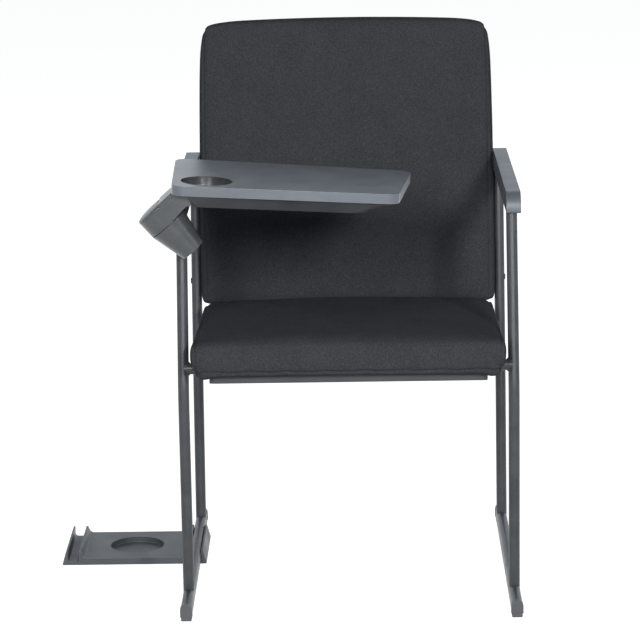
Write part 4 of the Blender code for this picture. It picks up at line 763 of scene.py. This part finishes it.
def bent_line(depth_at, bend, low, high):
    """Foot, an arc through the bend, and top, as depth and height."""
    foot, knee, top = (Vector((depth_at(z), z)) for z in (low, bend, high))
    before, after = (foot - knee).normalized(), (top - knee).normalized()
    half = before.angle(after) / 2
    reach = BEND_RADIUS / math.tan(half)
    centre = knee + (before + after).normalized() * BEND_RADIUS / math.sin(half)
    first, last = knee + before * reach - centre, knee + after * reach - centre
    step = -first.angle_signed(last) / ARC_STEPS
    arc = [centre + Matrix.Rotation(step * count, 2) @ first for count in range(ARC_STEPS + 1)]
    return [foot, *arc, top]


def painted_steel(name, mesh, *nodes):
    shade(mesh)
    hand_over(put(name, mesh), "graphite_paint", *nodes)


def tube(node, line):
    """Sweep a tube along a line, in place of its solid."""
    mesh = run_tree(polyline(node, [line]), sweep,
                    radius=TUBE_RADIUS, sides=TUBE_SIDES, finish=FINISH["tube_paint"])
    painted_steel(node + "_tube", mesh, node)


for side, sign in zip(SIDES, (-1, 1)):
    for end, depth_at, bend in (("front", front_y, FRONT_BEND), ("rear", rear_y, REAR_BEND)):
        node = f"{side}_{end}_upright"
        profile = bent_line(depth_at, bend, FOOT_HEIGHT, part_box(node)[1].z - TOP_INSET)
        tube(node, [place(sign * TRACK / 2, y, z) for y, z in profile])
for node, depth_at, height in (("front_crossbar", front_y, FRONT_BAR), ("rear_crossbar", rear_y, REAR_BAR)):
    tube(node, [Vector((corner.x, depth_at(height) + TO_MODEL.y, height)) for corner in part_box(node)])
print("swept 4 uprights and 2 crossbars")

# %% [markdown]
# ## Weld beads
# The uprights are welded to the runners and the crossbars to the uprights. A weld is a rope of
# metal laid in the corner where two tubes meet, rippled by the torch. The corner runs along the
# curve in which one tube cuts the other, so its points come from a formula and a node tree lays
# the bead along them. It thins out at the sides, where the tubes run flush.

# %% Bead tree
RIPPLE_STEPS, RIPPLE_SWELL, BEAD_SIDES = 5.0, 0.14, 10

bead, bead_in, bead_out = new_tree("weld_bead", {
    "Radius": (FLOAT, 0.0018), "Ripple": (FLOAT, 0.0024), "Finish": (MATERIAL, None)})
pitch = bead_in.outputs["Ripple"]
fine_line = add(bead, "GeometryNodeResampleCurve", {
    "Curve": bead_in.outputs["Geometry"], "Length": calc(bead, "DIVIDE", pitch, RIPPLE_STEPS)}, mode="LENGTH")
turns = calc(bead, "DIVIDE", add(bead, "GeometryNodeSplineParameter").outputs["Length"], pitch)
wave = calc(bead, "SINE", calc(bead, "MULTIPLY", turns, 2 * math.pi))
swell = calc(bead, "MULTIPLY_ADD", wave, RIPPLE_SWELL, 1.0)
taper = add(bead, "GeometryNodeInputRadius").outputs[0]
bead_ring = add(bead, "GeometryNodeCurvePrimitiveCircle", {
    "Radius": bead_in.outputs["Radius"], "Resolution": BEAD_SIDES})
rope = add(bead, "GeometryNodeCurveToMesh", {
    "Curve": fine_line.outputs[0], "Profile Curve": bead_ring.outputs[0],
    "Scale": calc(bead, "MULTIPLY", swell, taper), "Fill Caps": True})
close_tree(bead, rope.outputs[0], bead_in.outputs["Finish"], bead_out)
print("bead tree:", len(bead.nodes), "nodes")

# %% Beads at the feet and at the crossbar ends
RUNNER_SPRING = 0.019
BEAD_RADIUS, BEAD_RIPPLE, BEAD_STEPS = 0.0019, 0.0026, 16
BEAD_START, BEAD_END = math.radians(26), math.radians(154)


def foot_point(sign, depth_at, angle):
    """Where the upright meets the arched top of its runner."""
    height = RUNNER_SPRING + TUBE_RADIUS * abs(math.sin(angle))
    side = TUBE_RADIUS * math.cos(angle)
    return place(sign * TRACK / 2 + side, depth_at(height) + TUBE_RADIUS * math.sin(angle), height)


def bar_point(sign, depth_at, height, lean, angle):
    """Where the crossbar meets the inner side of a leaning upright."""
    across, rise = TUBE_RADIUS * math.cos(angle), TUBE_RADIUS * math.sin(angle)
    offset = across * math.cos(lean) - rise * math.sin(lean)
    reach = TRACK / 2 - math.sqrt(max(TUBE_RADIUS ** 2 - offset ** 2, 0.0))
    return place(sign * reach, depth_at(height) + across, height + rise)


JOINTS = ((front_y, FRONT_BAR, FRONT_LEAN), (rear_y, REAR_BAR, REAR_UPPER_LEAN))
bead_lines = []
for half_turn in (0, math.pi):
    angles = half_turn + np.linspace(BEAD_START, BEAD_END, BEAD_STEPS + 1)
    for sign in (-1, 1):
        for depth_at, height, lean in JOINTS:
            bead_lines.append([foot_point(sign, depth_at, angle) for angle in angles])
            bead_lines.append([bar_point(sign, depth_at, height, lean, angle) for angle in angles])
painted_steel("weld_beads", run_tree(polyline("beads", bead_lines, tapered=True), bead,
                                     radius=BEAD_RADIUS, ripple=BEAD_RIPPLE, finish=FINISH["tube_paint"]))
print("laid", len(bead_lines), "weld beads")

# %% [markdown]
# ## Screws and bolts
# Eighteen fasteners hold the chair together, all with a low domed head and a hexagon for the key.
# One is drawn for each size, from the size of its solid: rings of points on circles and on a
# hexagon, joined by strips of faces. A node tree puts a copy at each place, turned to face as
# the solid faces, and makes one mesh of the set.

# %% Screw tree
screws, screws_in, screws_out = new_tree("screw_set", {"Screw": (OBJECT, None), "Finish": (MATERIAL, None)})
spots = add(screws, "GeometryNodeMeshToPoints", {"Mesh": screws_in.outputs["Geometry"]})
facing = add(screws, "GeometryNodeInputNamedAttribute", {"Name": "facing"}, data_type="FLOAT_VECTOR")
turned = add(screws, "FunctionNodeAlignRotationToVector", {"Vector": facing.outputs["Attribute"]}, axis="Z")
drawn = add(screws, "GeometryNodeObjectInfo", {"Object": screws_in.outputs["Screw"], "As Instance": True})
copies = add(screws, "GeometryNodeInstanceOnPoints", {
    "Points": spots.outputs["Points"], "Instance": drawn.outputs["Geometry"],
    "Rotation": turned.outputs["Rotation"]})
close_tree(screws, copies.outputs[0], screws_in.outputs["Finish"], screws_out)
print("screw tree:", len(screws.nodes), "nodes")

# %% One screw of each size
SCREW_SIDES, DOME_RINGS = 24, 5
KEY_SHARE, KEY_DEPTH_SHARE = 0.50, 0.65
DOME_START, DOME_FOOT = 0.68, 0.45
RIM_SHARE, TIP_SHARE = 0.97, 0.25


def measure_screw(node):
    """Where a screw's head sits, the way it faces, and its shank's and head's radius and length."""
    points = coordinates(NODES[node].data)
    middle = points.mean(axis=0)
    axis = np.linalg.svd(points - middle)[2][0]
    along = (points - middle) @ axis
    out = np.linalg.norm(points - middle - along[:, None] * axis, axis=1)
    widest = out > RIM_SHARE * out.max()
    if along[widest].mean() < 0:
        axis, along = -axis, -along
    seat = along[widest].min()
    shank = out[along < along.min() + TIP_SHARE * (seat - along.min())].max()
    return middle + axis * seat, axis, (shank, seat - along.min(), out.max(), along.max() - seat)


def hexagon_reach(angle, flat):
    """How far a hexagon's side is from its middle in this direction."""
    return flat / math.cos((angle % (math.pi / 3)) - math.pi / 6)


def draw_screw(name, shank, length, head, height):
    """A domed screw with its head's seat at zero and its shank pointing down."""
    key = head * KEY_SHARE
    rings = [(key, height * (1 - KEY_DEPTH_SHARE), True), (key, height, True)]
    for step in range(DOME_RINGS):
        turn = math.pi / 2 * step / (DOME_RINGS - 1)
        rings.append((head * (DOME_START + (1 - DOME_START) * math.sin(turn)),
                      height * (DOME_FOOT + (1 - DOME_FOOT) * math.cos(turn)), False))
    for radius, z in ((head, 0), (shank, 0), (shank, shank / 2 - length), (shank / 2, -length)):
        rings.append((radius, z, False))
    bm = bmesh.new()
    loops = []
    for radius, z, hexagonal in rings:
        loop = []
        for step in range(SCREW_SIDES):
            angle = 2 * math.pi * step / SCREW_SIDES
            reach = hexagon_reach(angle, radius) if hexagonal else radius
            loop.append(bm.verts.new((reach * math.cos(angle), reach * math.sin(angle), z)))
        loops.append(loop)
    for first, second in zip(loops, loops[1:]):
        for step in range(SCREW_SIDES):
            after = (step + 1) % SCREW_SIDES
            bm.faces.new((first[step], first[after], second[after], second[step]))
    bm.faces.new(loops[0])
    bm.faces.new(loops[-1])
    bmesh.ops.recalc_face_normals(bm, faces=bm.faces)
    mesh = finish_mesh(bm, name)
    shade(mesh)
    return mesh


def screw_set(name, finish, nodes):
    """Every screw of one size on one body, as one piece."""
    places, facings, sizes = zip(*(measure_screw(node) for node in nodes))
    master = put(name + "_drawn", draw_screw(name, *sizes[0]))
    marks = bpy.data.meshes.new(name + "_marks")
    marks.from_pydata([tuple(point) for point in places], [], [])
    marks.attributes.new("facing", "FLOAT_VECTOR", "POINT").data.foreach_set("vector", np.ravel(facings))
    mesh = run_tree(put(name, marks), screws, screw=master, finish=FINISH[finish])
    bpy.data.objects.remove(master)
    hand_over(put(name, mesh), "zinc_steel", *nodes, body=body_holding(nodes[0]))
    print(name, "shank and head in mm:", [round(size * 1000, 1) for size in sizes[0]])


# %% Sets of screws
screw_set("lower_back_bolts", "black_steel", [f"{side}_lower_back_bolt" for side in SIDES])
screw_set("upper_back_bolts", "black_steel", [f"{side}_upper_back_bolt" for side in SIDES])
screw_set("seat_screws", "zinc_steel", [f"{side}_{end}_seat_screw" for side in SIDES for end in ENDS])
screw_set("arm_screws", "black_steel", [f"{side}_{end}_arm_screw" for side in SIDES for end in ENDS])
screw_set("clamp_screws", "black_steel", [f"{side}_clamp_screw" for side in SIDES])
screw_set("tablet_screws", "zinc_steel",
          [f"{row}_{end}_tablet_screw" for row in ("near", "far") for end in ENDS])

# %% [markdown]
# ## Cushions, blown up as cloth
# The seat and back are foam in a fitted cover. Each starts as a copy of its solid, a little
# smaller, remeshed into even squares. Cloth with some pressure inside swells it until its cover
# is taut. The part that sits on the board is held fast, and the rest is held a little, as foam
# would, so that the cover moves a few millimetres and keeps the outline. A cap keeps each point
# near its start. The cover's own thickness, its seams and its hem are pressed in afterwards.

# %% Swelling a cushion
VOXEL, RELAX_SHARE, RELAX_TURNS = 0.006, 0.5, 3
PRESSURE, FRAMES = 4.0, 20
FOAM_HOLD, SHRINK, CAP, COVER = 0.11, 0.0012, 0.022, 0.0016
SLACK = 0.003
STILL = 1e-9


def normals_of(mesh):
    return vectors(mesh.vertex_normals, "vector")


def move_to(mesh, points):
    mesh.vertices.foreach_set("co", points.astype(np.float32).ravel())
    mesh.update()


def into(frame_matrix, points):
    """Points of the model in a piece's own frame."""
    back = np.array(frame_matrix.inverted())
    return points @ back[:3, :3].T + back[:3, 3]


def cushion_copy(node, name):
    """A copy of a cushion's solid in even squares, relaxed a little."""
    piece = put(name, give_finish(finish_mesh(merged_copy(node), name), "charcoal_cloth"))
    remesh = piece.modifiers.new("even", "REMESH")
    remesh.mode, remesh.voxel_size = "VOXEL", VOXEL
    relax = piece.modifiers.new("relax", "SMOOTH")
    relax.factor, relax.iterations = RELAX_SHARE, RELAX_TURNS
    settle_modifiers(piece)
    return piece


def run_cloth(piece, hold):
    """Let pressure swell the piece as cloth, and give back where its points end."""
    grip = piece.vertex_groups.new(name="held")
    for index, share in enumerate(hold):
        grip.add([index], float(share), "REPLACE")
    cloth = piece.modifiers.new("puff", "CLOTH")
    settings = cloth.settings
    settings.quality, settings.mass = 5, 0.25
    settings.tension_stiffness = settings.compression_stiffness = 30
    settings.shear_stiffness, settings.bending_stiffness = 10, 1.5
    settings.use_pressure, settings.uniform_pressure_force = True, PRESSURE
    settings.effector_weights.gravity = 0
    settings.vertex_group_mass = "held"
    cloth.collision_settings.use_collision = False
    for number in range(1, FRAMES + 1):
        SCENE.frame_set(number)
    ended = coordinates(piece.evaluated_get(bpy.context.evaluated_depsgraph_get()).data)
    piece.modifiers.clear()
    piece.vertex_groups.clear()
    SCENE.frame_set(1)
    return ended


def puff(piece, held):
    """Shrink the free skin, swell it as cloth within the cap, and add the cover's thickness."""
    mesh = piece.data
    start = coordinates(mesh) - normals_of(mesh) * (1 - held)[:, None] * SHRINK
    move_to(mesh, start)
    moved = run_cloth(piece, np.maximum(held, FOAM_HOLD)) - start
    far = np.linalg.norm(moved, axis=1)
    move_to(mesh, start + moved * np.minimum(1, CAP / np.maximum(far, STILL))[:, None])
    outward = normals_of(mesh)
    share = (1 - held) * np.clip(1 + outward[:, 2], 0, 1)
    move_to(mesh, coordinates(mesh) + outward * share[:, None] * COVER)
    average, most = (round(float(length) * 1000, 2) for length in (far.mean(), far.max()))
    print(piece.name, "cloth moved", average, "mm on average,", most, "at most")


def swell_cushion(piece, held):
    puff(piece, held.astype(float))
    finer = piece.modifiers.new("finer", "SUBSURF")
    finer.levels = finer.render_levels = 1
    settle_modifiers(piece)


print("ready to swell")

# %% Seams and hems
SEAM_INSET, SEAM_DEPTH, SEAM_WIDTH = 0.0085, 0.0018, 0.0018
NEAR_WIDTHS = 2
AWAY = 1.0
WAVE_SHARES, WAVE_TURN = (1.0, 0.53, 0.31), 6.28


def press_line(piece, away, depth, width):
    """Press a line into the cover: the mesh is made finer there, and sinks along its normals."""
    mesh = piece.data
    near = np.abs(away(coordinates(mesh))) < NEAR_WIDTHS * width
    bm = bmesh.new()
    bm.from_mesh(mesh)
    close = [edge for edge in bm.edges if near[edge.verts[0].index] and near[edge.verts[1].index]]
    bmesh.ops.subdivide_edges(bm, edges=close, cuts=1, use_grid_fill=True)
    bm.to_mesh(mesh)
    bm.free()
    sink = depth * np.exp(-(away(coordinates(mesh)) / width) ** 2)
    move_to(mesh, coordinates(mesh) - normals_of(mesh) * sink[:, None])


def ripple(along, length, seed):
    """A smooth, fixed wandering value along a line, made of a few waves."""
    draw = np.random.default_rng(seed)
    total = np.zeros(len(along))
    for share in WAVE_SHARES:
        total += share * np.sin(along / (length * share) * 2 * math.pi + draw.uniform(0, WAVE_TURN))
    return total / sum(WAVE_SHARES)


print("ready to sew")

# %% Seat cushion
RAIL_GAP = 0.0003
SEAT_SLOPE = math.atan2(REAR_BAR - FRONT_BAR, rear_y(REAR_BAR) - front_y(FRONT_BAR))
lift = Vector((-math.sin(SEAT_SLOPE), math.cos(SEAT_SLOPE))) * (TUBE_RADIUS + RAIL_GAP)
SEAT_ORIGIN = place(0, front_y(FRONT_BAR) + lift.x, FRONT_BAR + lift.y)
SEAT_FRAME = Matrix.Translation(SEAT_ORIGIN) @ Matrix.Rotation(SEAT_SLOPE, 4, "X")
BOARD_HALF, BOARD_FRONT, BOARD_REAR, BOARD_TOP = 0.2263, -0.0448, 0.3723, 0.0219
SEAT_HALF, SEAT_RIM_DROP = 0.252, 0.0143

seat = cushion_copy("seat_cushion", "seat_upholstery")
x, y, z = into(SEAT_FRAME, coordinates(seat.data)).T
in_pocket = ((np.abs(x) < BOARD_HALF + SLACK) & (y > BOARD_FRONT - SLACK)
             & (y < BOARD_REAR + SLACK) & (z < BOARD_TOP + SLACK))
swell_cushion(seat, in_pocket | (z < SLACK - SEAT_RIM_DROP))
print("seat cushion swelled:", len(seat.data.polygons), "faces")

# %% Corners, seams and hem of the seat
CORNER_AT, CORNER_LENGTH, CORNER_SAG = 0.232, 0.014, 0.0045
CORNER_TOP, CORNER_FADE, CORNER_DEEP = 0.004, 0.012, 0.03
HEM_HEIGHT, HEM_DEPTH, HEM_WIDTH = -0.0066, 0.0034, 0.0019
HEM_SIDE, HEM_END = 0.002, 0.004
HEM_WANDER, HEM_WAVE, HEM_SEED = 0.0015, 0.060, 4


def sag_corners(piece):
    """Let the two lower front corners of the cover hang a little beside the pan."""
    points = coordinates(piece.data)
    x, y, z = into(SEAT_FRAME, points).T
    near = np.exp(-((np.abs(x) - CORNER_AT) / CORNER_LENGTH) ** 2)
    near *= np.clip((CORNER_TOP - z) / CORNER_FADE, 0, 1)
    near *= np.clip((BOARD_FRONT + CORNER_DEEP - y) / CORNER_DEEP, 0, 1)
    down = np.array(SEAT_FRAME.to_3x3() @ Vector((0, 0, -1)))
    move_to(piece.data, points + down * (near * CORNER_SAG)[:, None])


def from_seat_seam(points):
    """How far each point is from the two side seams of the seat cover."""
    x, y, z = into(SEAT_FRAME, points).T
    return np.where(z > HEM_HEIGHT, np.abs(x) - (SEAT_HALF - SEAM_INSET), AWAY)


def from_seat_hem(points):
    """How far each point is from the drawn-in hem above the pan, which wanders a little."""
    x, y, z = into(SEAT_FRAME, points).T
    outside = (np.abs(x) > BOARD_HALF + HEM_SIDE) | (y < BOARD_FRONT - HEM_END) | (y > BOARD_REAR + HEM_END)
    return np.where(outside, z - HEM_HEIGHT - HEM_WANDER * ripple(x + y, HEM_WAVE, HEM_SEED), AWAY)


sag_corners(seat)
press_line(seat, from_seat_seam, SEAM_DEPTH, SEAM_WIDTH)
press_line(seat, from_seat_hem, HEM_DEPTH, HEM_WIDTH)
seat.data.shade_smooth()
hand_over(seat, "black_fabric", "seat_cushion")
print("seat cushion:", len(seat.data.polygons), "faces")

# %% Back cushion
BACK_HALF, BACK_BOTTOM, BACK_TOP, BACK_RIM, BOARD_DEEP = 0.2555, 0.152, 0.642, 0.018, 0.005
NARROWING, NARROWS_FROM = 0.003, 0.45
BACK_ORIGIN = place(0, rear_y(REAR_BEND), REAR_BEND)
BACK_FRAME = Matrix.Translation(BACK_ORIGIN) @ Matrix.Rotation(-REAR_UPPER_LEAN, 4, "X")

back = cushion_copy("back_cushion", "back_upholstery")
x, y, z = into(BACK_FRAME, coordinates(back.data)).T
in_pocket = ((np.abs(x) < BACK_HALF - BACK_RIM + SLACK) & (y > -BOARD_DEEP - SLACK)
             & (z > BACK_BOTTOM + BACK_RIM - SLACK) & (z < BACK_TOP - BACK_RIM + SLACK))
swell_cushion(back, in_pocket | (y > BOARD_DEEP - SLACK))


def from_back_seam(points):
    """How far each point is from the side seams of the back, which near each other at its top."""
    x, y, z = into(BACK_FRAME, points).T
    rise = np.clip((z - NARROWS_FROM) / (BACK_TOP - NARROWS_FROM), 0, 1)
    return np.where(y < 0, np.abs(x) - (BACK_HALF - SEAM_INSET - NARROWING * rise ** 2), AWAY)


press_line(back, from_back_seam, SEAM_DEPTH, SEAM_WIDTH)
back.data.shade_smooth()
hand_over(back, "black_fabric", "back_cushion")
print("back cushion:", len(back.data.polygons), "faces")
